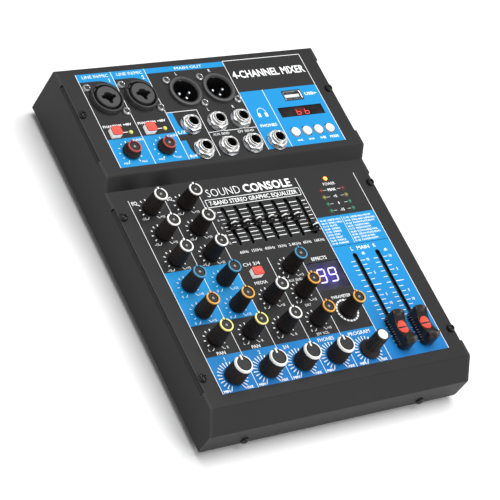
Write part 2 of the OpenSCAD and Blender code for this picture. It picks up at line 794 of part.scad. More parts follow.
module power_inlet() {
    in_frame() {
        color(knob_black) translate([inlet_x, case_d, rear_z]) rotate([-90, 0, 0]) {
            difference() {
                union() {
                    rod(inlet_flange_r, 0, low_head_h);
                    rod(inlet_body_r, -inlet_l, eps);
                }
                rod(inlet_bore_r, -inlet_l + 2, low_head_h + 1);
            }
        }
        color(steel) translate([inlet_x, case_d, rear_z]) rotate([-90, 0, 0])
            rod(inlet_pin_r, -inlet_l + 2 + fit_gap, -0.5);
        color(knob_black) translate([rocker_x, case_d, rear_z]) rotate([-90, 0, 0]) difference() {
            union() {
                block(rocker_frame, 0, low_head_h);
                block(rocker_frame - [2.4, 2.4], -rocker_depth, eps);
            }
            block(rocker_hole, -rocker_depth + 2, low_head_h + 1);
            translate([-rocker_frame[0] / 2 + 2, 0, -rocker_pivot_in]) rotate([0, 90, 0])
                cylinder(r = rocker_pivot_r + play, h = rocker_frame[0] - 4);
        }
    }
}

// The rocker lies in its "on" position; it turns about the pivot pins moulded on its sides
module power_rocker() {
    pin_l = rocker_frame[0] - 4.2;
    color(button_red) in_frame() translate([rocker_x, case_d - rocker_pivot_in, rear_z])
    rotate([rocker_tilt, 0, 0]) {
        across(rocker_w / 2) polygon([
            [-rocker_back, -3.6], [2, -6.2], [3.1, -6.2], [2.1, 0], [3.1, 6.2], [2, 6.2], [-rocker_back, 3.6]
        ]);
        translate([-pin_l / 2, 0, 0]) rotate([0, 90, 0]) cylinder(r = rocker_pivot_r, h = pin_l);
    }
}

// ---- Displays and lights

module display_module(spec, level, drop) {
    translate([spec[0], spec[1], level]) block([spec[2], spec[3]], -drop, -display_sink);
}

module display_modules() {
    color("#241a1c") in_frame() display_module(media_display, raised_h, media_drop);
    color("#1c1a2a") in_frame() display_module(effect_display, panel_h, board_drop);
}

// A round light with a domed top, on two wire legs
module light(p, level) {
    translate([p[0], p[1], level]) {
        intersection() {
            union() {
                rod(light_r, -light_body, light_up - light_r);
                translate([0, 0, light_up - light_r]) sphere(r = light_r);
            }
            rod(light_r, -light_body, light_up);
        }
        for (s = [-1, 1]) translate([s * leg_dx, 0, 0]) rod(leg_r, -board_drop, -light_body + eps);
    }
}

module indicator_lights() {
    color("#ff8a30") in_frame() light(power_light, panel_h);
    color("#c9d04a") in_frame() {
        for (x = meter_xs, y = meter_ys) light([x, y], panel_h);
        for (x = phantom_light_xs) light([x, phantom_light_y], raised_h);
    }
}

top_panel();
bottom_tray();
circuit_boards();
board_spacers();
rotary_pots();
slide_pots();
push_switches();
combo_jacks();
output_connectors();
phone_jacks();
jack_nuts();
screws();
rubber_feet();
indicator_lights();
display_modules();
usb_socket();
power_inlet();
ribbon_cables();
source_button();
power_rocker();
for (k = KNOBS) knob(k);
for (i = [0 : eq_bands - 1]) eq_slider(i);
for (i = [0, 1]) main_fader(fader_xs[i]);
for (i = [0, 1]) phantom_button(i);
for (i = [0 : 3]) media_button(i);
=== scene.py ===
"""The looks of a compact four-channel mixing console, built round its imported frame.

Meshes are modelled in millimetres and placed in the frame's metres. A place on the casing is
(x, y): x from the middle, y from the front face, both in millimetres.
"""
import json
import math

import bmesh
import bpy
from mathutils import Matrix, Vector
from mathutils.geometry import tessellate_polygon


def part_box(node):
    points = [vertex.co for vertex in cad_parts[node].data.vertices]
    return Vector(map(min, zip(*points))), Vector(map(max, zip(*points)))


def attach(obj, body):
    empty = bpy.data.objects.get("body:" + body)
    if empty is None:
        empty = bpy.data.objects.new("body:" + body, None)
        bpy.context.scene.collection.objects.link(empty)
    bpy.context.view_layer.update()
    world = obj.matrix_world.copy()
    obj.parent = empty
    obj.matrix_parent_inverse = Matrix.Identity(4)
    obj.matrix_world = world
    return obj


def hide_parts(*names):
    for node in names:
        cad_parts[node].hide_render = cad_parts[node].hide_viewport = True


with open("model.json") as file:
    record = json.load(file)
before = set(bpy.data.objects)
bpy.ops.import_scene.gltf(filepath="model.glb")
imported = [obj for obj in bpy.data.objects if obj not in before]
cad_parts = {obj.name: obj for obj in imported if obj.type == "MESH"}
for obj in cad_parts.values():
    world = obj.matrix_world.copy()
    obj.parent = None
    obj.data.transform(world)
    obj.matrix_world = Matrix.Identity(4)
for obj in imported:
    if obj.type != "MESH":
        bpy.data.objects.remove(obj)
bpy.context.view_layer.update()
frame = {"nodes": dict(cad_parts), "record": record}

MM = 0.001
TAU = 2 * math.pi

# ---- The frame's main levels, in metres

panel_low, panel_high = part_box("top_panel")
FRONT_Y = panel_low.y
REAR_Y = panel_high.y
CASE_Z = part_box("bottom_tray")[0].z
RAISED_Z = panel_high.z
# the control panel is the highest sheet between the front bevel and the step
CONTROL_Z = max(
    v.co.z for v in frame["nodes"]["top_panel"].data.vertices
    if 30 * MM < v.co.y - FRONT_Y < 150 * MM
)
STEP_Y = 160                       # the step between the panels starts about here, in millimetres


def place(x, y, z):
    """A place on the casing in millimetres and a level in metres, as a point of the frame."""
    return Vector((x * MM, FRONT_Y + y * MM, z))


def on_casing(spot):
    """A point of the frame as a place on the casing."""
    return spot.x / MM, (spot.y - FRONT_Y) / MM


def middle(node):
    """The (x, y) of a node's turning axis: half its width in from its front edge."""
    low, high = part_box(node)
    return (low.x + high.x) / 2 / MM, (low.y - FRONT_Y + (high.x - low.x) / 2) / MM


def measured(box, level):
    """For a (low, high) box and a level: its middle on that level, then, in millimetres, half its
    width and depth, and its top and foot over the level."""
    low, high = box
    spot = Vector(((low.x + high.x) / 2, (low.y + high.y) / 2, level))
    halves = ((high.x - low.x) / 2 / MM, (high.y - low.y) / 2 / MM)
    return spot, *halves, (high.z - level) / MM, (low.z - level) / MM


# ---- Materials


def linear(code):
    """A linear colour, with alpha 1, from a six-digit web code."""
    values = [int(code[i:i + 2], 16) / 255 for i in (0, 2, 4)]
    return (*(v / 12.92 if v <= 0.04045 else ((v + 0.055) / 1.055) ** 2.4 for v in values), 1)


def tinted(colour, share):
    """A colour made lighter or darker by a share."""
    return (*(min(1.0, c * (1 + share)) for c in colour[:3]), 1)


class Paint:
    """A procedural material being made, in object coordinates."""

    def __init__(self, name):
        self.material = bpy.data.materials.new(name)
        self.material.use_nodes = True
        self.tree = self.material.node_tree
        self.coords = self.node("TexCoord", {})["Object"]

    def feed(self, node, sockets):
        """Links a node's sockets to outputs, or sets them to values."""
        for name, value in sockets.items():
            if isinstance(value, bpy.types.NodeSocket):
                self.tree.links.new(value, node.inputs[name])
            else:
                node.inputs[name].default_value = value

    def node(self, kind, sockets, **settings):
        """The outputs of a new node."""
        made = self.tree.nodes.new("ShaderNode" + kind)
        for name, value in settings.items():
            setattr(made, name, value)
        self.feed(made, sockets)
        return made.outputs

    def shade(self, sockets):
        """The material, with these sockets of its Principled shader fed."""
        self.feed(self.tree.nodes["Principled BSDF"], sockets)
        return self.material

    def noise(self, size, detail=3.0):
        """Noise with grains of about size millimetres."""
        sockets = {"Vector": self.coords, "Scale": 1 / (size * MM), "Detail": detail}
        return self.node("TexNoise", sockets)["Fac"]

    def spread(self, factor, low, high, start=0.3, end=0.7):
        """A factor mapped from start..end to low..high."""
        sockets = {"Value": factor, "From Min": start, "From Max": end, "To Min": low, "To Max": high}
        return self.node("MapRange", sockets)["Result"]

    def blended(self, factor, one, other):
        """A colour between two, by a factor; each may be an output."""
        return self.node("Mix", {"Factor": factor, "A": one, "B": other}, data_type="RGBA")["Result"]

    def varied(self, factor, colour, less, more):
        """A colour from darker by a share to lighter by a share, by a factor."""
        return self.blended(factor, tinted(colour, -less), tinted(colour, more))

    def bump(self, height, depth):
        """A normal with a bump of depth millimetres from a height."""
        sockets = {"Strength": 1.0, "Distance": depth * MM, "Height": height}
        return self.node("Bump", sockets)["Normal"]


def finish(name, code, roughness, vary=0.12, patch=4, grain=0.4, depth=0.01, metallic=0.0, sheen=0.5):
    """A surface whose colour and gloss vary in patches, with a fine grain in relief."""
    paint = Paint(name)
    grains = paint.noise(grain, 4.0)
    return paint.shade({
        "Base Color": paint.varied(paint.noise(patch), linear(code), vary, vary),
        "Roughness": paint.spread(grains, roughness - 0.06, roughness + 0.08),
        "Normal": paint.bump(grains, depth),
        "Metallic": metallic,
        "Specular IOR Level": sheen,
    })


def turned_metal(name, code, roughness):
    """Plated metal with the fine rings that a lathe leaves, and a slight patchy tarnish."""
    paint = Paint(name)
    patches = paint.noise(3.0)
    rings = paint.node(
        "TexWave", {"Vector": paint.coords, "Scale": 900, "Distortion": 1.5}, bands_direction="Z")
    return paint.shade({
        "Base Color": paint.varied(patches, linear(code), 0.18, 0.1),
        "Roughness": paint.spread(patches, roughness - 0.05, roughness + 0.1),
        "Normal": paint.bump(rings["Fac"], 0.004),
        "Metallic": 1.0,
    })


def powder_coat(name, code):
    """Textured black powder coat: a fine orange-peel relief, with a painted highlight that lightens the folds
    and edges.
    """
    paint = Paint(name)
    colour = linear(code)
    peel = paint.noise(0.45, 5.0)
    body = paint.varied(paint.noise(25.0), colour, 0.1, 0.1)
    # the bevel's normal differs from the surface's own only near an edge
    edge = paint.node("Bevel", {"Radius": 0.8 * MM})["Normal"]
    closeness = paint.node("VectorMath", {}, operation="DOT_PRODUCT")
    inputs = closeness["Value"].node.inputs
    paint.tree.links.new(edge, inputs[0])
    paint.tree.links.new(paint.node("NewGeometry", {})["Normal"], inputs[1])
    # painted highlight: near an edge or fold the coat is mixed towards a much lighter grey, standing in for
    # the light that catches it
    edge_highlight = paint.spread(closeness["Value"], 0.9, 0.0, 0.75, 0.99)
    return paint.shade({
        "Base Color": paint.blended(edge_highlight, body, tinted(colour, 3.5)),
        "Roughness": paint.spread(peel, 0.4, 0.58),
        "Normal": paint.bump(peel, 0.03),
        "Specular IOR Level": 0.2,
    })


def printed(name, near, far, roughness=0.42):
    """Screen-printed ink over the powder coat. Its colour runs from near, at the front, to far.

    The legend's object coordinates start at the casing's front edge.
    """
    paint = Paint(name)
    along = paint.node("SeparateXYZ", {"Vector": paint.coords})["Y"]
    way = paint.spread(along, 0.0, 1.0, 15 * MM, 90 * MM)
    grains = paint.noise(0.45, 5.0)
    return paint.shade({
        "Base Color": paint.blended(way, linear(near), linear(far)),
        "Roughness": paint.spread(grains, roughness - 0.05, roughness + 0.1),
        "Normal": paint.bump(grains, 0.015),
        "Specular IOR Level": 0.15,
    })


def glowing(name, code, strength, roughness=0.2):
    """A lit lens or segment, whose glow is uneven, as over the chip behind it; also a painted glow that makes
    an unlit part look lighter.
    """
    paint = Paint(name)
    colour = linear(code)
    patches = paint.noise(1.5)
    return paint.shade({
        "Base Color": colour,
        "Roughness": roughness,
        "Emission Color": paint.varied(patches, colour, 0, 0.25),
        "Emission Strength": paint.spread(patches, strength * 0.85, strength * 1.15),
    })


def window(name, code, halo, reach, strength, centre):
    """Smoked glass over a display. halo is the colour that the lit digits spread over it."""
    paint = Paint(name)
    smudges = paint.noise(9.0)
    sockets = {
        "Vector": paint.coords, "Location": centre,
        "Scale": (reach * MM, reach * 0.8 * MM, reach * MM),
    }
    shift = paint.node("Mapping", sockets, vector_type="TEXTURE")
    fall = paint.node("TexGradient", {"Vector": shift["Vector"]}, gradient_type="QUADRATIC_SPHERE")
    return paint.shade({
        "Base Color": paint.varied(smudges, linear(code), 0.2, 0.2),
        "Roughness": paint.spread(smudges, 0.12, 0.26),
        "Emission Color": linear(halo),
        "Emission Strength": paint.spread(fall["Fac"], 0.0, strength, 0.0, 1.0),
    })


def board_green(name):
    """Solder mask over copper tracks."""
    paint = Paint(name)
    tracks = paint.node("TexBrick", {
        "Vector": paint.coords, "Scale": 120, "Mortar Size": 0.03, "Color1": linear("1d5a35"),
        "Color2": linear("20633a"), "Mortar": linear("3c8a55")})
    return paint.shade({
        "Base Color": tracks["Color"],
        "Roughness": paint.spread(paint.noise(4.0), 0.25, 0.4),
        "Normal": paint.bump(tracks["Fac"], 0.02),
    })


def ribbed_cable(name):
    """Grey ribbon cable: a rib for each wire."""
    paint = Paint(name)
    sockets = {"Vector": paint.coords, "Scale": 1 / (2 * 1.27 * MM)}
    ribs = paint.node("TexWave", sockets, bands_direction="X")["Fac"]
    return paint.shade({
        "Base Color": paint.blended(ribs, linear("7d8287"), linear("a2a7ab")),
        "Roughness": paint.spread(paint.noise(2.0), 0.5, 0.65),
        "Normal": paint.bump(ribs, 0.3),
    })


COAT = powder_coat("powder_coat", "262627")
KNOB = finish("knob_plastic", "322d2a", 0.5, vary=0.15, patch=3, grain=0.3, depth=0.02, sheen=0.12)
KNOB_FACE = finish(
    "knob_face_plastic", "2b2b2b", 0.4, vary=0.35, patch=0.8, grain=0.35, depth=0.06, sheen=0.2)
# light grey for the boss: a painted highlight on what is a glossy dark dome
PAINTED_HIGHLIGHT_BOSS = finish("boss_painted_highlight", "8f8d8b", 0.2, vary=0.2, patch=2, grain=0.5)
SLIDER_BLACK = finish("slider_plastic", "1a1a1a", 0.45, grain=0.5, depth=0.012, sheen=0.2)
CAP_BLACK = finish("fader_plastic", "262120", 0.28, grain=0.5, depth=0.012, sheen=0.32)
WHITE = finish("white_plastic", "f4f3ef", 0.38, vary=0.02, patch=6, grain=0.6)
RED = finish("red_plastic", "e04634", 0.4, vary=0.05, patch=5, grain=0.5, depth=0.015)
RINGS = {
    "white": finish("ring_white", "f4f4f0", 0.4, vary=0.02, patch=3),
    "blue": finish("ring_blue", "3d8cb4", 0.42, vary=0.08, patch=3),
    "orange": finish("ring_orange", "e8a53c", 0.42, vary=0.06, patch=3),
    "yellow": finish("ring_yellow", "efeb8a", 0.42, vary=0.04, patch=3),
    "red": finish("ring_red", "b43827", 0.42, vary=0.06, patch=3),
}
NICKEL = turned_metal("nickel_plate", "e2e2e1", 0.36)
STEEL = turned_metal("zinc_plate", "c9ccd0", 0.28)
BLACK_STEEL = finish("blackened_steel", "2b2b2c", 0.36, vary=0.2, patch=1.5, metallic=0.6)
BRASS = turned_metal("brass", "b9a15a", 0.3)
SOCKET_BLACK = finish("socket_plastic", "171718", 0.42, vary=0.1, grain=0.5, depth=0.02)
COLLAR = finish("collar_plastic", "303031", 0.46, vary=0.1, patch=5, depth=0.03)
COLLAR_GREY = finish("output_collar_plastic", "484848", 0.5, vary=0.08, patch=5, depth=0.03)
INSERT_GREY = finish("insert_plastic", "39393a", 0.55, vary=0.1, patch=2, depth=0.04)
TONGUE = finish("usb_tongue_plastic", "e6e7e8", 0.35, vary=0.06, patch=2)
RUBBER = finish("foot_rubber", "161617", 0.8, vary=0.15, patch=3, depth=0.04)
INK_WHITE = printed("white_ink", "f2f4f6", "fafbfc")
INK_BLUE = printed("blue_ink", "1a70b6", "1c8ecd")
INK_DARK = printed("dark_ink", "10304c", "10304c")
INK_GREY = printed("grey_ink", "b9babb", "b9babb")
LENS = {
    "power": glowing("power_light", "ff6e2c", 5.0),
    "phantom": glowing("phantom_light", "d9d86a", 0.12, 0.25),
    "red": glowing("peak_light", "7c2422", 0.04, 0.35),
    "amber": glowing("amber_light", "8c8638", 0.05, 0.35),
    "green": glowing("green_light", "2a7456", 0.05, 0.35),
}
# the plunger is no lamp: its glow is painted light that makes the white plastic look brighter
WHITE_PAINTED_GLOW = glowing("plunger_white_painted_glow", "f6f2ec", 0.5, 0.35)
DIGIT_VIOLET = glowing("violet_segments", "a9a2ff", 1.7)
DIGIT_RED = glowing("red_segments", "e8484a", 0.55)
BOARD = board_green("circuit_board")
CABLE = ribbed_cable("ribbon_cable")

# ---- Meshes, in millimetres

SHARP = math.radians(32)


def loft(loops, ring=False):
    """A closed solid through loops of points: capped at both ends, or joined back to its start."""
    bm = bmesh.new()
    made = [[bm.verts.new(p) for p in loop] for loop in loops]
    pairs = list(zip(made, made[1:]))
    if ring:
        pairs.append((made[-1], made[0]))
    else:
        bm.faces.new(made[0])
        bm.faces.new(made[-1])
    for one, other in pairs:
        for k in range(len(one)):
            after = (k + 1) % len(one)
            bm.faces.new((one[k], one[after], other[after], other[k]))
    bmesh.ops.recalc_face_normals(bm, faces=bm.faces)
    return bm


def polar(radius, z, n=64):
    """A loop round the axis. radius is a number, or a function of the angle from the x axis."""
    loop = []
    for k in range(n):
        a = TAU * k / n
        r = radius(a) if callable(radius) else radius
        loop.append((r * math.cos(a), r * math.sin(a), z))
    return loop


def turned(profile, n=64, ring=False):
    """A turned solid from (radius, height) points."""
    return loft([polar(r, z, n) for r, z in profile], ring)


def fluted(r, depth, flutes):
    """The radius of a round body with hollow flutes."""
    return lambda a: r - depth * (0.5 - 0.5 * math.cos(flutes * a))


def rounded(sx, sy, r, z, n=6):
    """A rectangle with round corners, of 4 (n + 1) points."""
    loop = []
    for k, (cx, cy) in enumerate(((1, 1), (-1, 1), (-1, -1), (1, -1))):
        for i in range(n + 1):
            a = TAU / 4 * (k + i / n)
            loop.append((cx * (sx / 2 - r) + r * math.cos(a), cy * (sy / 2 - r) + r * math.sin(a), z))
    return loop


def block(sx, sy, r, levels, n=6):
    """A rounded block from (inset, height) levels."""
    return loft([rounded(sx - 2 * i, sy - 2 * i, max(r - i, 0.05), z, n) for i, z in levels])


def gather(parts):
    """One mesh from meshes or (mesh, place) pairs; a place is a point or a matrix."""
    whole = bmesh.new()
    for part in parts:
        bm, spot = part if isinstance(part, tuple) else (part, (0, 0, 0))
        temp = bpy.data.meshes.new("part")
        bm.to_mesh(temp)
        temp.transform(spot if isinstance(spot, Matrix) else Matrix.Translation(spot))
        whole.from_mesh(temp)
        bpy.data.meshes.remove(temp)
    return whole


def copies(bm, places):
    """One mesh from copies of a mesh at several places."""
    return gather([(bm, spot) for spot in places])


def piece(name, bm, material, body="casing", at=(0, 0, 0), turn=None, stands_for=()):
    """A piece from a mesh in millimetres, placed in the frame, riding on a body."""
    for edge in bm.edges:
        edge.smooth = not (len(edge.link_faces) == 2 and edge.calc_face_angle() > SHARP)
    for face in bm.faces:
        face.smooth = True
    mesh = bpy.data.meshes.new(name)
    bm.to_mesh(mesh)
    mesh.transform(Matrix.Scale(MM, 4))
    mesh.materials.append(material)
    made = bpy.data.objects.new(name, mesh)
    bpy.context.scene.collection.objects.link(made)
    made.matrix_world = Matrix.Translation(at) @ (turn or Matrix.Identity(4))
    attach(made, body)
    if stands_for:
        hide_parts(*stands_for)
    return made


# ---- Knobs

KNOB_GAP = 0.8
SHAFT_R = 3.0
SHAFT_DROP = 2.8                   # from a knob's top to the end of its shaft
FACE_SINK = 0.5                    # from a knob's rim to its face
POINTER = TAU / 4                  # a knob at rest points to the rear


def shaft(top, foot):
    """A metal shaft with a flat on the end that the knob grips."""
    def cut(a):
        return min(SHAFT_R, 1.5 / max(math.sin(a), 1e-6)) if math.sin(a) > 0 else SHAFT_R
    return loft([
        polar(SHAFT_R - 0.4, foot, 48), polar(SHAFT_R, foot + 0.4, 48), polar(SHAFT_R, KNOB_GAP + 2, 48),
        polar(cut, KNOB_GAP + 2.01, 48), polar(cut, top, 48),
    ])


def knob_body(base, top, high, inner, flutes, ledge):
    """A moulded knob: a foot collar, fluted sides, a ledge for the ring and a sunk face."""
    n = flutes * 8
    z0 = KNOB_GAP
    foot = z0 + 1.4
    crown = high - ledge - 0.2

    def side(z, depth=0.0):
        t = (z - foot) / (crown - foot)
        return polar(fluted(base + (top - base) * max(t, 0.0), depth, flutes), z, n)

    face = high - FACE_SINK
    return loft([
        polar(SHAFT_R + 0.1, z0, n), polar(base - 0.3, z0, n), polar(base, z0 + 0.3, n),
        polar(base, foot - 0.25, n), side(foot), side(foot + 0.5, 0.3), side(crown - 0.5, 0.26),
        side(crown - 0.05), polar(top, crown + 0.1, n), polar(top, high - ledge, n),
        polar(inner, high - ledge + 0.02, n), polar(inner, high - 0.1, n),
        polar(inner - 0.15, high - 0.05, n), polar(inner - 0.3, face, n), polar(0.1, face, n),
    ])


def ring_band(foot, outer, inner, deep, high, pointer, gaps):
    """The coloured ring set in a knob's top edge, broken on both sides of its pointer.

    Its outer side slants from the radius foot up to outer. pointer is its inner end, outer end
    and width; gaps are the breaks' angles, left and right of it.
    """
    section = [
        (foot, high - deep), (foot - 0.02, high - deep + 0.25), (outer + 0.1, high - 0.16),
        (outer - 0.1, high), (inner + 0.2, high), (inner + 0.05, high - 0.15),
        (inner + 0.05, high - min(deep, 0.95)),
    ]
    steps = 96
    left, right = (math.radians(g) for g in gaps)
    loops = []
    for k in range(steps + 1):
        a = POINTER + left + (TAU - left - right) * k / steps
        loops.append([(r * math.cos(a), r * math.sin(a), z) for r, z in section])
    reach_in, reach_out, width = pointer
    mark = block(width, reach_out - reach_in, 0.25, [(0, high - 0.95), (0, high - 0.15), (0.15, high)])
    return gather([loft(loops), (mark, (0, (reach_in + reach_out) / 2, 0))])


def knob_disc(radius, high, boss):
    """The stippled disc sunk in a knob's face, with a groove round its middle if it carries a boss."""
    z = high - FACE_SINK
    middle_part = [(1.35, z + 0.14), (1.2, z - 0.05), (0.05, z - 0.05)] if boss else [(0.05, z + 0.14)]
    return turned([(radius, z), (radius - 0.1, z + 0.12)] + middle_part, 48)


def knob_boss(high):
    """The small glossy dome in the middle of a small knob's face; its light grey colour is a painted
    highlight.
    """
    z = high - FACE_SINK
    return turned([(1.0, z - 0.04), (0.95, z + 0.15), (0.7, z + 0.35), (0.4, z + 0.45), (0.05, z + 0.48)], 32)


def knob(node, kind, colour="white"):
    """A knob's body, ring and shaft, in place of its node."""
    panel = RAISED_Z if kind == "gain" else CONTROL_Z
    _, base, _, up, foot = measured(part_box(node), panel)
    at = place(*middle(node), panel)
    if kind == "level":
        inner = 4.65
        body = knob_body(base, 6.0, up, inner, 36, 1.4)
        band = ring_band(6.0, 5.4, inner, 1.35, up, (2.7, 6.0, 1.15), (23, 25))
    else:
        inner = 3.3
        body = knob_body(base, 4.3, up, inner, 24, 1.0)
        band = ring_band(4.3, 4.25, inner, 0.95, up, (3.5, 5.0, 1.25), (24, 22))
    piece(node + "_body", body, KNOB, node, at, stands_for=[node])
    piece(node + "_face", knob_disc(inner - 0.35, up, kind != "level"), KNOB_FACE, node, at)
    if kind != "level":
        # the boss's light grey is a painted highlight
        piece(node + "_boss", knob_boss(up), PAINTED_HIGHLIGHT_BOSS, node, at)
    piece(node + "_ring", band, RINGS[colour], node, at)
    piece(node + "_shaft", shaft(up - SHAFT_DROP, foot), STEEL, node, at)


def program_knob(node):
    """The taller selector: a flared skirt, a ribbed barrel and a white cap."""
    _, base, _, up, foot = measured(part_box(node), CONTROL_Z)
    z0 = KNOB_GAP
    ribs, n = 12, 144

    def ribbed(r, z, depth):
        # broad flats between narrow ribs
        return polar(lambda a: r - depth * (1 - abs(math.cos(ribs * a / 2)) ** 6), z, n)

    body = loft([
        polar(SHAFT_R + 0.1, z0, n), polar(base - 0.35, z0, n), polar(base, z0 + 0.35, n),
        polar(base, z0 + 0.95, n), polar(base - 0.3, z0 + 1.35, n), polar(base - 1.1, z0 + 2.0, n),
        polar(5.15, z0 + 3.0, n), polar(4.8, z0 + 3.3, n), ribbed(4.75, z0 + 3.6, 0.0),
        ribbed(4.7, z0 + 4.2, 0.38), ribbed(4.3, up - 1.9, 0.36), ribbed(4.25, up - 1.4, 0.0),
        polar(4.2, up - 1.1, n), polar(4.15, up - 0.45, n), polar(4.0, up - 0.3, n), polar(3.6, up - 0.3, n),
        polar(3.5, up - 0.45, n), polar(3.5, up - 0.98, n), polar(0.1, up - 0.98, n),
    ])
    cap = turned([
        (3.42, up - 0.94), (3.42, up - 0.35), (3.3, up - 0.12), (3.0, up - 0.02), (1.5, up), (0.1, up)], 72)
    at = place(*middle(node), CONTROL_Z)
    piece(node + "_body", body, KNOB, node, at, stands_for=[node])
    piece(node + "_cap", cap, WHITE, node, at)
    piece(node + "_shaft", shaft(up - SHAFT_DROP, foot), STEEL, node, at)


CHANNEL_COLOURS = {
    "pan": "yellow", "effect": "orange", "aux": "blue", "low": "white", "mid": "white", "high": "white",
}
SMALL_KNOBS = {
    f"ch{c}_{row}_knob": colour for c in (1, 2) for row, colour in CHANNEL_COLOURS.items()
}
SMALL_KNOBS.update({
    "line_balance_knob": "white", "line_aux_knob": "white", "effect_return_knob": "orange",
    "effect_send_knob": "orange", "aux_send_knob": "blue", "parameter_knob": "orange",
})
LEVEL_KNOBS = ["ch1_level_knob", "ch2_level_knob", "line_level_knob", "phones_level_knob"]
GAIN_KNOBS = ["ch1_gain_knob", "ch2_gain_knob"]
for node, colour in SMALL_KNOBS.items():
    knob(node, "small", colour)
for node in LEVEL_KNOBS:
    knob(node, "level")
for node in GAIN_KNOBS:
    knob(node, "gain", "red")
program_knob("program_knob")

# ---- Sliders

CAP_GAP = 1.1


def stations(length, count, end):
    """Places along a cap from end to end, closer together where its ends turn down."""
    half = length / 2
    edge = [-half + end * (1 - math.cos(TAU / 4 * k / 4)) for k in range(4)]
    middle_part = [-half + end + (length - 2 * end) * k / count for k in range(count + 1)]
    return edge + middle_part + [-y for y in reversed(edge)]


def lever(foot, width, along, top):
    """The metal lever of a slider, with a chamfered end."""
    return block(width, along, 0.2, [(0.2, foot), (0, foot + 0.3), (0, top - 0.4), (0.3, top)])


def eq_slider(node):
    """A small equaliser slider: a stepped black cap, arched across, with a white line over it."""
    at, half_x, half_y, up, lever_foot = measured(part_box(node), CONTROL_Z)
    foot = CAP_GAP + 1.1
    arch = 1.9                         # how far the crest falls from the middle to the sides
    ridge = half_x - 0.55              # half the width above the foot

    def crest(y_at):
        """Height of the cap's ridge line: three steps up to a flat in the middle."""
        slope = min(1.0, (1 - abs(y_at) / half_y) / 0.74)
        step = 0.55 * math.floor(slope * 3 + 1e-6) / 3 + 0.45 * slope
        return foot + (up - 0.06 - foot) * step

    def over(top, raised=0.0):
        """Points over the arch from left to right, for a ridge as high as top."""
        points = []
        for k in range(9):
            t = -1 + 2 * k / 8
            fall = min(arch, 0.55 * (top - foot) + 0.1)
            points.append((-ridge * t, top - fall * t * t + raised))
        return points

    loops = []
    for y_at in stations(2 * half_y, 44, 0.3):
        top = crest(y_at)
        right = [(half_x - 0.25, CAP_GAP), (half_x, CAP_GAP + 0.2), (half_x, foot - 0.3)]
        left = [(-half_x, foot - 0.3), (-half_x, CAP_GAP + 0.2)]
        outline = [(-half_x + 0.25, CAP_GAP)] + right + over(top) + left
        loops.append([(px, y_at, pz) for px, pz in outline])
    piece(node + "_cap", loft(loops), SLIDER_BLACK, node, at, stands_for=[node])
    mark = []
    for y_at in (-0.45, 0.45):
        upper = over(crest(y_at), 0.06)
        lower = [(px, pz - 0.3) for px, pz in reversed(upper)]
        mark.append([(px, y_at, pz) for px, pz in upper + lower])
    piece(node + "_line", loft(mark), WHITE, node, at)
    piece(node + "_lever", lever(lever_foot, 1.2, 4, up - 1.8), STEEL, node, at)


EQ_SLIDERS = [f"eq_slider_{k}" for k in range(1, 8)]
for node in EQ_SLIDERS:
    eq_slider(node)


def fader(node):
    """A main fader: a long cap with a deep finger dish, toothed skirts and a red marker in two halves."""
    at, half_x, half_y, up, lever_foot = measured(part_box(node), CONTROL_Z)
    dish_r, waist = 14.0, 7.7      # the dish's radius, and the height of its lowest point
    teeth, end = 10, 3.2

    def crest(t):
        """The top's height at t millimetres along the cap."""
        bowl = waist + dish_r - math.sqrt(max(dish_r ** 2 - t ** 2, 0.0))
        tip = half_y - abs(t)
        fall = up - 1.6 * max(0.0, 1 - tip / end) ** 2
        return min(bowl, fall)

    def section(y_at):
        tip = min(1.0, (half_y - abs(y_at)) / end)
        pinch = math.sqrt(max(1 - (1 - tip) ** 2, 0.0))
        top = crest(y_at)
        tooth = 0.85 * min(1.0, max(0.0, 1.6 * math.cos(TAU * teeth * y_at / (2 * half_y - 2 * end))))
        toothed = tooth if abs(y_at) < half_y - end else 0.0
        skirt = (half_x - 0.1) * (0.5 + 0.5 * pinch)
        waist_x = (half_x - 1.15) * (0.45 + 0.55 * pinch)
        lip = (half_x - 1.25) * (0.42 + 0.58 * pinch)
        rim = lip - 0.45
        bowl = max(rim - 0.9, 0.3)
        # a ridge crosses the dish near each end
        ridge = max(0.0, 1 - abs(abs(y_at) - half_y + 2.6) / 0.5)
        sink = (0.75 - 0.95 * ridge) * pinch
        right = [
            (skirt - 0.8, CAP_GAP), (skirt - 0.8 + toothed, CAP_GAP + 0.3),
            (skirt - 0.8 + toothed, CAP_GAP + 2.1), (waist_x, CAP_GAP + 2.7),
            (waist_x - 0.1, min(CAP_GAP + 4.0, top - 0.9)), (lip, top - 0.5), (rim + 0.2, top - 0.08),
            (rim - 0.1, top), (bowl, top - sink * 0.8), (bowl * 0.5, top - sink),
        ]
        return [(px, y_at, pz) for px, pz in right] + [(-px, y_at, pz) for px, pz in reversed(right)]

    cap = loft([section(y_at) for y_at in stations(2 * half_y - 0.1, 90, end)])

    def marker(y0, y1):
        """Half of the oval marker that lines the dish."""
        loops = []
        for k in range(9):
            y_at = y0 + (y1 - y0) * k / 8
            wide = 3.5 * math.sqrt(max(1 - (y_at / 4.6) ** 2, 0.05))
            top = crest(y_at)
            loops.append([
                (-wide, y_at, top - 1.1), (-wide, y_at, top - 0.3), (-wide * 0.6, y_at, top - 0.42),
                (wide * 0.6, y_at, top - 0.42), (wide, y_at, top - 0.3), (wide, y_at, top - 1.1),
            ])
        return loft(loops)

    piece(node + "_cap", cap, CAP_BLACK, node, at, stands_for=[node])
    halves = gather([marker(-4.4, -0.55), marker(0.55, 4.4)])
    piece(node + "_marker", halves, RED, node, at)
    piece(node + "_lever", lever(lever_foot, 1.4, 5, 5.7), STEEL, node, at)


FADERS = ["left_fader", "right_fader"]
for node in FADERS:
    fader(node)

# ---- Push buttons


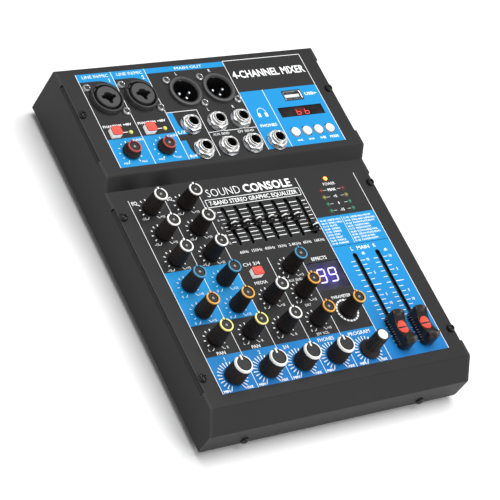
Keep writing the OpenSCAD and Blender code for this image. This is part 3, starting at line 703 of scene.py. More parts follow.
def square_button(node, panel):
    """A latching button: a red cap, slightly dished, on a white plunger and its stem."""
    at, half_x, half_y, up, foot = measured(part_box(node), panel)
    seam = up - 0.9
    cap = block(2 * half_x, 2 * half_y, 0.9, [
        (0.2, seam + 0.02), (0, seam + 0.15), (0, up - 0.3), (0.12, up - 0.08), (0.35, up),
        (1.0, up - 0.05), (2.0, up - 0.15),
    ])
    levels = [(0.2, -1.6), (0, -1.4), (0, seam - 0.2), (0.15, seam)]
    plunger = gather([
        block(2 * half_x - 0.2, 2 * half_y - 0.2, 0.8, levels),
        block(3, 3, 0.3, [(0.3, foot), (0, foot + 0.4), (0, -1.62)]),
    ])
    piece(node + "_cap", cap, RED, node, at, stands_for=[node])
    # the plunger's glow is painted light
    piece(node + "_plunger", plunger, WHITE_PAINTED_GLOW, node, at)


PHANTOM_BUTTONS = ["ch1_phantom_button", "ch2_phantom_button"]
for node in PHANTOM_BUTTONS:
    square_button(node, RAISED_Z)
square_button("source_button", CONTROL_Z)


def media_button(node):
    """A round white key with a softly domed face, on its stem."""
    at, r, _, up, foot = measured(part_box(node), RAISED_Z)
    top = r - 0.35
    key = turned([
        (1.1, foot), (1.5, foot + 0.4), (1.5, -2.4), (r - 0.2, -2.4), (r, -2.2), (r, -1.5),
        (top, -1.4), (top, up - 0.45), (top - 0.1, up - 0.2), (top - 0.35, up - 0.06),
        (r * 0.6, up - 0.01), (0.1, up),
    ])
    piece(node + "_key", key, WHITE, node, at, stands_for=[node])


MEDIA_BUTTONS = [f"media_button_{k}" for k in range(1, 5)]
for node in MEDIA_BUTTONS:
    media_button(node)

# ---- The solids of a CAD node, for the places of pieces that share a node

def solids(node):
    """The (low, high) boxes of a node's separate solids, from left to right, then front to rear."""
    mesh = frame["nodes"][node].data
    parent = {}

    def root(key):
        while parent[key] != key:
            parent[key] = parent[parent[key]]
            key = parent[key]
        return key

    keys = [tuple(round(c * 1e6) for c in v.co) for v in mesh.vertices]
    for key in keys:
        parent[key] = key
    for edge in mesh.edges:
        one, other = (root(keys[i]) for i in edge.vertices)
        parent[one] = other
    boxes = {}
    for v, key in zip(mesh.vertices, keys):
        low, high = boxes.setdefault(root(key), (v.co.copy(), v.co.copy()))
        for i in range(3):
            low[i] = min(low[i], v.co[i])
            high[i] = max(high[i], v.co[i])
    return sorted(boxes.values(), key=lambda b: (round(b[0].x, 4), round(b[0].y, 4)))


def spots(node, level, least=0.0):
    """Where a node's solids stand on a panel: the middles, on that level, of those at least so wide."""
    found = []
    for low, high in solids(node):
        if high.x - low.x < least * MM:
            continue
        spot = Vector(((low.x + high.x) / 2, (low.y + high.y) / 2, level))
        if all((spot - other).length > MM for other in found):
            found.append(spot)
    return found


TO_FRONT = Matrix.Rotation(TAU / 4, 4, "X")       # turns a piece's top to the front
TO_REAR = Matrix.Rotation(-TAU / 4, 4, "X")       # and to the rear

# ---- Screws

SCREW_R = 2.75


def crossed(arm, half_width):
    """The radius of a cross-shaped recess."""
    def radius(a):
        t = abs((a + TAU / 8) % (TAU / 4) - TAU / 8)
        return min(arm / math.cos(t), half_width / max(math.sin(t), 1e-6))
    return radius


def hexed(across_flats, limit=99.0):
    """The radius of a hexagon, cut back to a circle of radius limit."""
    def radius(a):
        t = a % (TAU / 6) - TAU / 12
        return min(across_flats / 2 / math.cos(t), limit)
    return radius


def screw(high, length=6, socket=False):
    """A domed machine screw with a threaded shank, and a tapered cross recess or a hexagon socket."""
    n = 96
    loops = [polar(0.4, -length, n), polar(1.2, -length + 0.3, n)]
    turns = int((length - 0.6) / 0.5)
    for k in range(turns):
        loops += [polar(1.22, -length + 0.4 + 0.5 * k, n), polar(1.45, -length + 0.65 + 0.5 * k, n)]
    loops += [polar(1.3, 0.01, n), polar(SCREW_R - 0.15, 0.01, n), polar(SCREW_R, 0.15, n)]
    for k in range(1, 8):
        a = TAU / 4 * k / 9
        loops.append(polar(SCREW_R - 1.1 + 1.1 * math.cos(a), 0.4 + (high - 0.5) * math.sin(a), n))
    if socket:
        return loft(loops + [
            polar(1.85, high - 0.02, n), polar(hexed(3.1), high - 0.15, n), polar(hexed(2.9), high - 1.7, n),
            polar(0.12, high - 1.75, n)])
    return loft(loops + [
        polar(1.95, high - 0.05, n), polar(crossed(1.8, 0.62), high, n),
        polar(crossed(1.68, 0.52), high - 0.12, n), polar(crossed(0.85, 0.34), high - 1.15, n),
        polar(0.12, high - 1.3, n)])


def fit_screws():
    """Black screws through the panel's edges, plated ones beside the connectors."""
    dark, plated, sockets = [], [], []
    # a black plug in each hex socket: painted shade that darkens the recess
    shade = turned([(0.1, 0.3), (1.4, 0.3), (1.4, 1.4), (0.1, 1.3)], 24)
    for low, high in solids("screws"):
        spot = (low + high) / 2
        if high.z - low.z < high.y - low.y:
            front = spot.y < 0
            spot.y = FRONT_Y if front else REAR_Y
            dark.append((screw(1.6), Matrix.Translation(spot / MM) @ (TO_FRONT if front else TO_REAR)))
            continue
        on_edge = abs(spot.x) > 90 * MM
        spot.z = RAISED_Z if high.z > RAISED_Z else CONTROL_Z
        turn = Matrix.Rotation(math.radians(17 + 40 * len(dark) + 25 * len(plated)), 4, "Z")
        if on_edge:
            dark.append((screw(2.2), Matrix.Translation(spot / MM) @ turn))
        else:
            plated.append((screw(2.0, socket=True), Matrix.Translation(spot / MM) @ turn))
            sockets.append((shade, spot / MM))
    piece("case_screws", gather(dark), BLACK_STEEL, stands_for=["screws"])
    piece("connector_screws", gather(plated), NICKEL)
    # the black plugs in the hex sockets are painted shade
    piece("connector_screw_painted_shade", gather(sockets), SOCKET_BLACK)


fit_screws()

# ---- Quarter-inch jacks


def squared(half):
    """The radius of a square outline."""
    return lambda a: half / max(abs(math.cos(a)), abs(math.sin(a)))


def lapped(loops_of, n=96):
    """A closed ring from (radius, height) pairs; a radius may be a function of the angle."""
    return loft([polar(r, z, n) for r, z in loops_of], ring=True)


BORE_R = 3.25
BARREL_R = 4.7
JACK_TOP, JACK_FOOT = measured(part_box("phone_jacks"), RAISED_Z)[3:]


def barrel():
    """A threaded barrel with a stepped, chamfered mouth."""
    profile = [(BARREL_R, -1.18)]
    pitch = 0.6
    for k in range(int((JACK_TOP - 1.2) / pitch)):
        profile += [(BARREL_R - 0.22, pitch * (k + 0.15)), (BARREL_R, pitch * (k + 0.6))]
    profile += [
        (BARREL_R, JACK_TOP - 1.15), (BARREL_R - 0.35, JACK_TOP - 1.05), (BARREL_R - 0.35, JACK_TOP - 0.35),
        (BARREL_R - 0.6, JACK_TOP), (BORE_R + 0.45, JACK_TOP), (BORE_R, JACK_TOP - 0.45), (BORE_R, -1.18),
    ]
    return lapped(profile)


def fit_jacks():
    """The quarter-inch jacks: body, threaded barrel, dark sleeve, washer and hexagon nut."""
    body = lapped([(BORE_R, JACK_FOOT), (squared(7.3), JACK_FOOT), (squared(7.3), -1.2), (BORE_R, -1.2)])
    washer = lapped([
        (BARREL_R + 0.1, 0.01), (6.9, 0.01), (7.0, 0.1), (7.0, 0.65), (6.85, 0.8), (BARREL_R + 0.1, 0.8)])
    nut = lapped([
        (BARREL_R + 0.05, 0.82), (hexed(12, 6.45), 0.82), (hexed(12, 6.85), 1.1), (hexed(12, 6.85), 2.95),
        (hexed(12, 6.5), 3.25), (hexed(12, 6.0), 3.42), (BARREL_R + 0.35, 3.42), (BARREL_R + 0.05, 3.2)])
    sleeve = lapped([
        (BORE_R - 0.03, -1.1), (BORE_R - 0.03, JACK_TOP - 0.7), (BORE_R - 0.25, JACK_TOP - 0.6),
        (BORE_R - 0.25, -1.1)])
    places = [Matrix.Translation(spot / MM) for spot in spots("phone_jacks", RAISED_Z)]
    turned_places = [
        at @ Matrix.Rotation(math.radians(11 + 23 * k), 4, "Z") for k, at in enumerate(places)]
    piece("jack_barrels", copies(barrel(), places), NICKEL, stands_for=["phone_jacks"])
    piece("jack_bodies", copies(body, places), SOCKET_BLACK)
    piece("jack_sleeves", copies(sleeve, places), SOCKET_BLACK)
    piece("jack_washers", copies(washer, places), STEEL, stands_for=["jack_nuts"])
    piece("jack_hex_nuts", copies(nut, turned_places), NICKEL)


fit_jacks()

# ---- Round connectors

BODY_HALF = 11.8
LEAST_BODY = 2 * BODY_HALF - 1     # narrower solids of the node aren't bodies
CONTACT_OFFSET = 3.81
LATCH = math.radians(135)          # the latch of a combo jack is at its upper left


def near(a, centre, half):
    """Whether an angle is within half of a centre."""
    return abs((a - centre + TAU / 2) % TAU - TAU / 2) < half


def lobed(bore, contact_r, grow=0.0):
    """The radius of a hole that is a bore joined to three contact holes."""
    def radius(a):
        reach = bore + grow
        for centre in (0.0, TAU / 2, 3 * TAU / 4):
            t = (a - centre + TAU / 2) % TAU - TAU / 2
            off = CONTACT_OFFSET * math.sin(t)
            if abs(t) < TAU / 4 and abs(off) < contact_r + grow:
                chord = math.sqrt((contact_r + grow) ** 2 - off ** 2)
                reach = max(reach, CONTACT_OFFSET * math.cos(t) + chord)
        return reach
    return radius


def fit_combo_jacks():
    """The combo input jacks: a round collar with a latch, and an insert for both kinds of plug."""
    top, foot = measured(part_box("combo_jacks"), RAISED_Z)[3:]
    collar_top = top - 0.8

    def mouth(a):
        return 10.2 if near(a, LATCH, 0.34) else 9.5

    def throat(a):
        return 10.15 if near(a, LATCH, 0.34) else 9.4

    collar = lapped([
        (11.1, -1.18), (11.1, 0.9), (10.95, 1.2), (10.7, collar_top - 0.5), (10.5, collar_top - 0.1),
        (10.35, collar_top), (lambda a: mouth(a) + 0.12, collar_top), (mouth, collar_top - 0.2),
        (throat, -13.9), (throat, -13.95), (11.05, -13.95), (11.05, -1.3)], 144)
    insert = lapped([
        (7.95, -14), (8.0, 2.2), (7.9, top - 0.35), (7.6, top), (lobed(BORE_R, 1.35, 0.12), top),
        (lobed(BORE_R, 1.35), top - 0.15), (lobed(BORE_R, 1.35), top - 9), (BORE_R, top - 9.01),
        (BORE_R, -14)], 144)
    floor = lapped([
        (BORE_R, foot), (squared(BODY_HALF), foot), (squared(BODY_HALF), -1.25), (11.12, -1.25),
        (11.12, -14.02), (BORE_R, -14.02)])
    tab = block(3.6, 1.3, 0.35, [(0, -6), (0, collar_top - 0.7), (0.25, collar_top - 0.4)])
    tab_place = Matrix.Rotation(LATCH - TAU / 4, 4, "Z") @ Matrix.Translation((0, 9.3, 0))
    places = [Matrix.Translation(spot / MM) for spot in spots("combo_jacks", RAISED_Z, LEAST_BODY)]
    piece("combo_collars", copies(collar, places), COLLAR, stands_for=["combo_jacks"])
    piece("combo_inserts", copies(insert, places), INSERT_GREY)
    piece("combo_bodies", copies(floor, places), SOCKET_BLACK)
    piece("combo_latches", copies(tab, [at @ tab_place for at in places]), SOCKET_BLACK)


def fit_output_connectors():
    """The three-pin output connectors: a collar, a lined shell with a key, and pins."""
    top, foot = measured(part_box("output_connectors"), RAISED_Z)[3:]
    collar = lapped([
        (11.1, -1.18), (11.2, -1.0), (11.2, top - 0.5), (11.0, top - 0.15), (10.7, top), (9.75, top),
        (9.65, top - 0.4), (9.45, top - 0.4), (9.35, top - 0.02), (9.15, top - 0.02), (9.0, top - 0.15),
        (8.93, top - 0.4), (8.93, -14.9), (10.9, -14.9), (10.9, -1.3)])

    def lining(a):
        return 8.0 if near(a, TAU / 4, 0.12) else 8.6

    liner = loft([
        polar(8.91, -15, 144), polar(8.91, top - 0.9, 144), polar(lining, top - 1.0, 144),
        polar(lining, -14.6, 144), polar(0.1, -14.6, 144)])
    floor = lapped([
        (8.93, foot), (squared(BODY_HALF), foot), (squared(BODY_HALF), -1.25), (11.0, -1.25),
        (11.0, -15.0), (8.93, -15.0)])
    pin = turned([(0.1, -14.6), (1.2, -14.6), (1.2, -1.3), (1.05, -0.75), (0.7, -0.42), (0.1, -0.3)], 32)
    places = [spot / MM for spot in spots("output_connectors", RAISED_Z, LEAST_BODY)]
    ways = [Vector(way) * CONTACT_OFFSET for way in ((-1, 0, 0), (1, 0, 0), (0, -1, 0))]
    piece("output_collars", copies(collar, places), COLLAR_GREY,
          stands_for=["output_connectors"])
    piece("output_liners", copies(liner, places), SOCKET_BLACK)
    piece("output_bodies", copies(floor, places), SOCKET_BLACK)
    piece("output_pins", copies(pin, [at + way for at in places for way in ways]), STEEL)


fit_combo_jacks()
fit_output_connectors()

# ---- USB socket


def fit_usb_socket():
    """The USB socket: a steel shell in a dark frame, with a bright tongue and four contacts."""
    spot, half_x, half_y, _, foot = measured(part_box("usb_socket"), RAISED_Z)
    sx, sy = 2 * half_x, 2 * half_y
    wall = 0.4

    def ring(inset, z):
        return rounded(sx - 2 * inset, sy - 2 * inset, 0.8, z)

    shell = loft([
        ring(0, foot), ring(0, 0.02), ring(-0.1, 0.1), ring(0.1, 0.25), ring(wall, 0.1), ring(wall, foot)],
        ring=True)
    frame_ring = loft([
        ring(-0.12, 0.02), ring(-0.65, 0.02), ring(-0.65, 0.35), ring(-0.5, 0.45), ring(-0.12, 0.3)],
        ring=True)
    tongue_y = (sy - 2 * wall - 2.4) / 2 - 1.5
    tongue = block(11.8, 2.4, 0.25, [(0.2, -12.9), (0, -12.7), (0, -0.9), (0.3, -0.5)])
    contact = block(1.1, 0.12, 0.04, [(0, -9), (0, -1.6)])
    contacts = copies(contact, [(dx, tongue_y - 1.25, 0) for dx in (-3.5, -1.1, 1.1, 3.5)])
    back = block(sx - 1, sy - 1, 0.4, [(0, -13.2), (0, -13)])
    piece("usb_shell", shell, STEEL, "casing", spot, stands_for=["usb_socket"])
    piece("usb_frame", frame_ring, SOCKET_BLACK, "casing", spot)
    piece("usb_tongue", tongue, TONGUE, "casing", spot + Vector((0, tongue_y * MM, 0)))
    piece("usb_contacts", contacts, BRASS, "casing", spot)
    piece("usb_back", back, SOCKET_BLACK, "casing", spot)


fit_usb_socket()

# ---- Lights


def led():
    """A small flanged lamp with a domed lens."""
    dome = [(1.42 * math.cos(TAU / 4 * k / 8), -0.3 + 1.2 * math.sin(TAU / 4 * k / 8)) for k in range(8)]
    return turned([(0.1, -3), (1.25, -3), (1.42, -2.8)] + dome + [(0.08, 0.9)], 40)


def fit_lights():
    """All indicator lights and their legs. Returns the power light's place and the meter's places."""
    lamp = led()
    leg = block(0.4, 0.4, 0.1, [(0, -10), (0, -2.95)], 2)
    legs = []
    rows = []
    for low, high in solids("indicator_lights"):
        if high.z - low.z < 5 * MM:
            continue
        rows.append(measured((low, high), RAISED_Z if high.z > RAISED_Z else CONTROL_Z)[0])
    meter = [at for at in rows if on_casing(at)[1] < STEP_Y]
    power = max(meter, key=lambda at: at.y)
    meter.remove(power)
    levels = sorted({round(at.y / MM, 1) for at in meter}, reverse=True)
    for k, at in enumerate(rows):
        legs += [at / MM + Vector((dx, 0, 0)) for dx in (-0.63, 0.63)]
        kind = "phantom"
        if at == power:
            kind = "power"
        elif at in meter:
            kind = ("red", "amber", "green", "green")[levels.index(round(at.y / MM, 1))]
        made_for = ["indicator_lights"] if k == 0 else ()
        piece(f"light_{k + 1}", lamp, LENS[kind], "casing", at, stands_for=made_for)
    piece("light_legs", copies(leg, legs), STEEL)
    return power, meter


power_light, meter_lights = fit_lights()

# ---- Displays

SEGMENTS = {
    # name: (middle x, middle y, upright), in half digit widths and quarter digit heights
    "a": (0, 2, False), "b": (1, 1, True), "c": (1, -1, True), "d": (0, -2, False),
    "e": (-1, -1, True), "f": (-1, 1, True), "g": (0, 0, False),
}


def digit(lit, wide, high, bar, slant, z0, z1):
    """The lit segments of a seven-segment digit, leaning by slant."""
    parts = []
    for name in lit:
        mx, my, upright = SEGMENTS[name]
        cx, cy = mx * (wide - bar) / 2, my * (high - bar) / 4
        half = ((high - bar) / 4 if upright else (wide - bar) / 2) - 0.12 * bar
        b = bar / 2
        outline = [(-half, 0), (-half + b, b), (half - b, b), (half, 0), (half - b, -b), (-half + b, -b)]
        loop = []
        for u, v in outline:
            x, y = (cx - v, cy + u) if upright else (cx + u, cy + v)
            loop.append((x + slant * y, y))
        parts.append(loft([[(x, y, z) for x, y in loop] for z in (z0, z1)]))
    return gather(parts)


def fit_displays():
    """The two displays: smoked glass over each module, and the lit digits on it."""
    boxes = solids("display_modules")
    effect = next(b for b in boxes if b[1].z < RAISED_Z - 5 * MM)
    media = next(b for b in boxes if b is not effect)
    specs = (
        # name, box, panel level, glass, digits' glow, their places, lit segments,
        # and the digits' width, height, bar and slant
        ("effect_display", effect, CONTROL_Z, ("violet_glass", "1b1838", "5a48ff", 13.0, 0.5),
         DIGIT_VIOLET, ((-4.4, 0, 0), (4.4, 0, 0)), "abcdfg", (6.3, 10.3, 0.95, 0.16)),
        ("media_display", media, RAISED_Z, ("red_glass", "140a0b", "ff3b2e", 7.5, 0.2),
         DIGIT_RED, ((-2.2, -0.2, 0), (4.5, -0.2, 0)), "cdefg", (3.6, 4.8, 0.5, 0.12)),
    )
    for name, box, level, glass, lit, places, shape, sizes in specs:
        spot, half_x, half_y, up, foot = measured(box, level)
        made = block(2 * half_x, 2 * half_y, 0.3, [(0, foot), (0, up - 0.15), (0.15, up)])
        material = window(*glass, spot + Vector((0, 0, up * MM)))
        piece(name + "_window", copies(made, [spot / MM]), material,
              stands_for=["display_modules"] if box is effect else ())
        digits = copies(digit(shape, *sizes, up - 0.1, up + 0.06), places)
        piece(name + "_digits", digits, lit, "casing", spot)


fit_displays()

# ---- Rear: power inlet and power switch


def fit_inlet():
    """The round power inlet and the rocker's frame, side by side on the rear wall."""
    # the narrow solid is the inlet's pin
    boxes = [b for b in solids("power_inlet") if b[1].x - b[0].x > 3 * MM]
    at = [
        Vector(((low.x + high.x) / 2, REAR_Y, (low.z + high.z) / 2)) for low, high in (boxes[0], boxes[-1])]
    out = 1.6                      # how far both stand out of the wall
    flange = turned([
        (2.75, -11), (4.0, -11), (4.0, 0.02), (5.5, 0.02), (5.5, out - 0.5), (5.2, out - 0.1), (4.9, out),
        (3.3, out), (2.75, out - 0.6)], 72, ring=True)
    back = turned([(0.1, -13), (4.0, -13), (4.0, -10.98), (0.1, -10.98)], 48)
    pin = turned([(0.1, -10.98), (1.0, -10.98), (1.0, -0.9), (0.6, -0.55), (0.1, -0.5)], 32)
    piece("inlet_flange", gather([flange, back]), SOCKET_BLACK,
          "casing", at[0], TO_REAR, stands_for=["power_inlet"])
    piece("inlet_pin", pin, STEEL, "casing", at[0], TO_REAR)
    sections = (
        # width, height, corner radius, distance out of the wall
        (12.6, 18.6, 0.8, -10), (12.6, 18.6, 0.8, 0.02), (15, 21, 1.6, 0.02), (15, 21, 1.6, out - 0.5),
        (14.2, 20.2, 1.4, out), (9.8, 15.2, 0.6, out), (9, 14.4, 0.4, out - 0.5), (9, 14.4, 0.4, -8),
        (0.4, 0.4, 0.1, -8.2), (0.4, 0.4, 0.1, -9.8))
    bezel = loft([rounded(*section) for section in sections], ring=True)
    piece("rocker_bezel", bezel, SOCKET_BLACK, "casing", at[1], TO_REAR)


def fit_rocker():
    """The rocker, curved between its two ends and marked for on and off."""
    joint = next(j for j in frame["record"]["behaviour"]["joints"] if j["name"] == "power_rocker_tilt")
    pivot = Vector(joint["pos_m"])
    half_w = 4.2
    side = [(-3.0, -3.6), (2.0, -6.2), (2.75, -6.2), (3.1, -5.9)]
    for k in range(13):
        t = -1 + 2 * k / 12
        side.append((2.1 + 1.0 * t * t, 5.6 * t))
    side += [(3.1, 5.9), (2.75, 6.2), (2.0, 6.2), (-3.0, 3.6)]
    loops = []
    for x, inset in ((-half_w, 0.2), (-half_w + 0.2, 0.0), (half_w - 0.2, 0.0), (half_w, 0.2)):
        loops.append([
            (x, y - math.copysign(inset, y), z - math.copysign(inset, z)) for y, z in side])
    tilt = Matrix.Rotation(math.radians(8), 4, "X")
    piece("power_rocker_key", loft(loops), RED, "power_rocker", pivot, tilt,
          stands_for=["power_rocker"])
    pins = turned([(0.6, -5.35), (0.95, -5.2), (0.95, 5.2), (0.6, 5.35)], 32)
    piece("power_rocker_pins", pins, RED, "power_rocker", pivot,
          Matrix.Rotation(TAU / 4, 4, "Y"))
    line = block(0.5, 3.2, 0.2, [(0, 0), (0, 0.35)])
    circle = turned([(1.3, 0), (1.75, 0), (1.75, 0.35), (1.3, 0.35)], 40, ring=True)
    marks = gather([(line, (0, 3.7, 0)), (circle, (0, -3.7, 0))])
    # the marks stand on the curved face, which faces the rear
    face = tilt @ Matrix.Translation((0, 2.4 * MM, 0)) @ Matrix.Rotation(-TAU / 4, 4, "X")
    piece("power_rocker_marks", marks, WHITE, "power_rocker", pivot, face)


fit_inlet()
fit_rocker()

# ---- Feet


def fit_feet():
    """The rubber feet, each with a rivet in its hollow."""
    low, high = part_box("rubber_feet")
    tall = (high.z - low.z) / MM
    foot = turned([
        (2.4, 0), (7.0, 0), (7.0, -0.4), (6.85, -0.8), (6.3, 0.5 - tall), (6.0, 0.15 - tall), (5.6, -tall),
        (3.4, -tall), (3.1, 0.25 - tall), (3.0, 1.2 - tall), (2.4, 1.2 - tall)], 64, ring=True)
    rivet = turned([
        (0.1, -0.01), (2.38, -0.01), (2.38, 1.6 - tall), (1.9, 1.3 - tall), (0.1, 1.25 - tall)], 48)
    places = [spot / MM for spot in spots("rubber_feet", CASE_Z)]
    piece("foot_pads", copies(foot, places), RUBBER, stands_for=["rubber_feet"])
    piece("foot_rivets", copies(rivet, places), BLACK_STEEL)


fit_feet()

# ---- CAD nodes that keep their shape

POT_CASE = finish("pot_case", "5a6861", 0.5, vary=0.1, patch=3, depth=0.02)
FRAME_STEEL = finish(
    "slide_pot_steel", "9a9fa3", 0.34, vary=0.1, patch=6, grain=0.3, metallic=0.9)
KEPT = {
    "top_panel": COAT, "bottom_tray": COAT, "circuit_boards": BOARD, "board_spacers": BRASS,
    "rotary_pots": POT_CASE, "slide_pots": FRAME_STEEL, "push_switches": SOCKET_BLACK,
    "ribbon_cables": CABLE,
}
for node, material in KEPT.items():
    kept = frame["nodes"][node]
    kept.data.materials.clear()
    kept.data.materials.append(material)

# ---- The printed legend: thin closed slabs of ink, in millimetres on the casing

SCALE_SHIFT = -0.9                 # the printed scales lie this far left of their knobs
HAIR = 0.38                        # width of the thin printed lines
CAPITALS = 0.682                   # height of the font's capitals, for a size of 1
BLUE_T, DARK_T, WHITE_T = 0.04, 0.055, 0.07
INK_SINK = 0.02                    # how far each slab of ink reaches into the panel
prints = {}                        # (panel, ink name) -> parts


def tessellated(loops, z0, z1):
    """A flat slab from an outline and its holes."""
    bm = bmesh.new()
    low = [[bm.verts.new((x, y, z0)) for x, y in loop] for loop in loops]
    high = [[bm.verts.new((x, y, z1)) for x, y in loop] for loop in loops]
    flat_low, flat_high = sum(low, []), sum(high, [])
    for tri in tessellate_polygon([[Vector((x, y, 0)) for x, y in loop] for loop in loops]):
        for flat in (flat_low, flat_high):
            bm.faces.new([flat[i] for i in tri])
    for lows, highs in zip(low, high):
        for k in range(len(lows)):
            after = (k + 1) % len(lows)
            bm.faces.new((lows[k], lows[after], highs[after], highs[k]))
    bmesh.ops.recalc_face_normals(bm, faces=bm.faces)
    return bm


def ink(panel, name, outline, holes=()):
    """Prints an outline on a panel."""
    top = {"blue": BLUE_T, "dark": DARK_T}.get(name, WHITE_T)
    prints.setdefault((panel, name), []).append(tessellated([outline, *holes], -INK_SINK, top))


def box_outline(x0, y0, x1, y1):
    """A rectangular outline."""
    return [(x0, y0), (x1, y0), (x1, y1), (x0, y1)]


def arc(cx, cy, r, a0, a1, n=24):
    """Points on an arc, in degrees clockwise from the rear."""
    points = []
    for k in range(n + 1):
        a = math.radians(a0 + (a1 - a0) * k / n)
        points.append((cx + r * math.sin(a), cy + r * math.cos(a)))
    return points


def circle(cx, cy, r, n=40):
    """A round outline."""
    return arc(cx, cy, r, 0, 360 * (n - 1) / n, n - 1)


def line(panel, x0, y0, x1, y1, width=HAIR, name="white"):
    """A straight printed line."""
    length = math.hypot(x1 - x0, y1 - y0)
    dx, dy = (y1 - y0) / length * width / 2, (x0 - x1) / length * width / 2
    ink(panel, name, [(x0 + dx, y0 + dy), (x1 + dx, y1 + dy), (x1 - dx, y1 - dy), (x0 - dx, y0 - dy)])


def band(panel, cx, cy, r0, r1, a0, a1, n=24):
    """Part of a printed ring."""
    ink(panel, "white", arc(cx, cy, r1, a0, a1, n) + arc(cx, cy, r0, a1, a0, n))


def tick(panel, cx, cy, angle, r0, r1, w0, w1):
    """A radial mark, w0 wide at its inner end and w1 at its outer end."""
    a = math.radians(angle)
    ux, uy = math.sin(a), math.cos(a)
    ink(panel, "white", [
        (cx + r * ux + s * w * uy / 2, cy + r * uy - s * w * ux / 2)
        for r, w, s in ((r0, w0, -1), (r0, w0, 1), (r1, w1, 1), (r1, w1, -1))])


def words(panel, text, x, y, high, width=None, weight=0.0, across_x=0.5):
    """White lettering with capitals high millimetres tall, centred at y, in a given overall width.

    x is its middle, or its left end if across_x is 0.
    """
    curve = bpy.data.curves.new("words", "FONT")
    curve.body = text
    curve.size = 1.0
    curve.offset = weight
    curve.resolution_u = 2
    curve.extrude = 0.5
    temp = bpy.data.objects.new("words", curve)
    mesh = bpy.data.meshes.new_from_object(temp)
    bpy.data.objects.remove(temp)
    xs = [v.co.x for v in mesh.vertices]
    natural = max(xs) - min(xs)
    tall = high / CAPITALS
    wide = width / natural if width else tall * 0.92
    mesh.transform(Matrix.Translation((-min(xs) - across_x * natural, -CAPITALS / 2, 0.5)))
    mesh.transform(Matrix.Diagonal((wide, tall, WHITE_T + INK_SINK, 1)))
    mesh.transform(Matrix.Translation((x, y, -INK_SINK)))
    bm = bmesh.new()
    bm.from_mesh(mesh)
    bmesh.ops.remove_doubles(bm, verts=bm.verts, dist=1e-5)
    bpy.data.meshes.remove(mesh)
    prints.setdefault((panel, "white"), []).append(bm)


def frame_line(panel, x0, y0, x1, y1, r=0.8):
    """An outlined caption box with round corners."""
    mid = ((x0 + x1) / 2, (y0 + y1) / 2)

    def loop(inset):
        return [(mid[0] + x, mid[1] + y)
                for x, y, _ in rounded(x1 - x0 - 2 * inset, y1 - y0 - 2 * inset, max(r - inset, 0.1), 0)]
    ink(panel, "white", loop(0), [loop(0.4)])


def spot_mm(node):
    """The middle of a node's box, as a place on the casing."""
    return on_casing(measured(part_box(node), 0)[0])


R, C = "raised", "control"
JACKS = [on_casing(s) for s in spots("phone_jacks", RAISED_Z)]
COMBOS = [on_casing(s) for s in spots("combo_jacks", RAISED_Z, LEAST_BODY)]
OUTPUTS = [on_casing(s) for s in spots("output_connectors", RAISED_Z, LEAST_BODY)]
PHANTOM = [spot_mm(n) for n in PHANTOM_BUTTONS]
GAINS = [middle(n) for n in GAIN_KNOBS]
MEDIA = [spot_mm(n) for n in MEDIA_BUTTONS]
USB = spot_mm("usb_socket")
SPINDLE_HOLE = 3.7
SLOT_Y, SLOT_HALF = 62.8, 31.55    # middle of the faders' slots, and half the distance of their ends


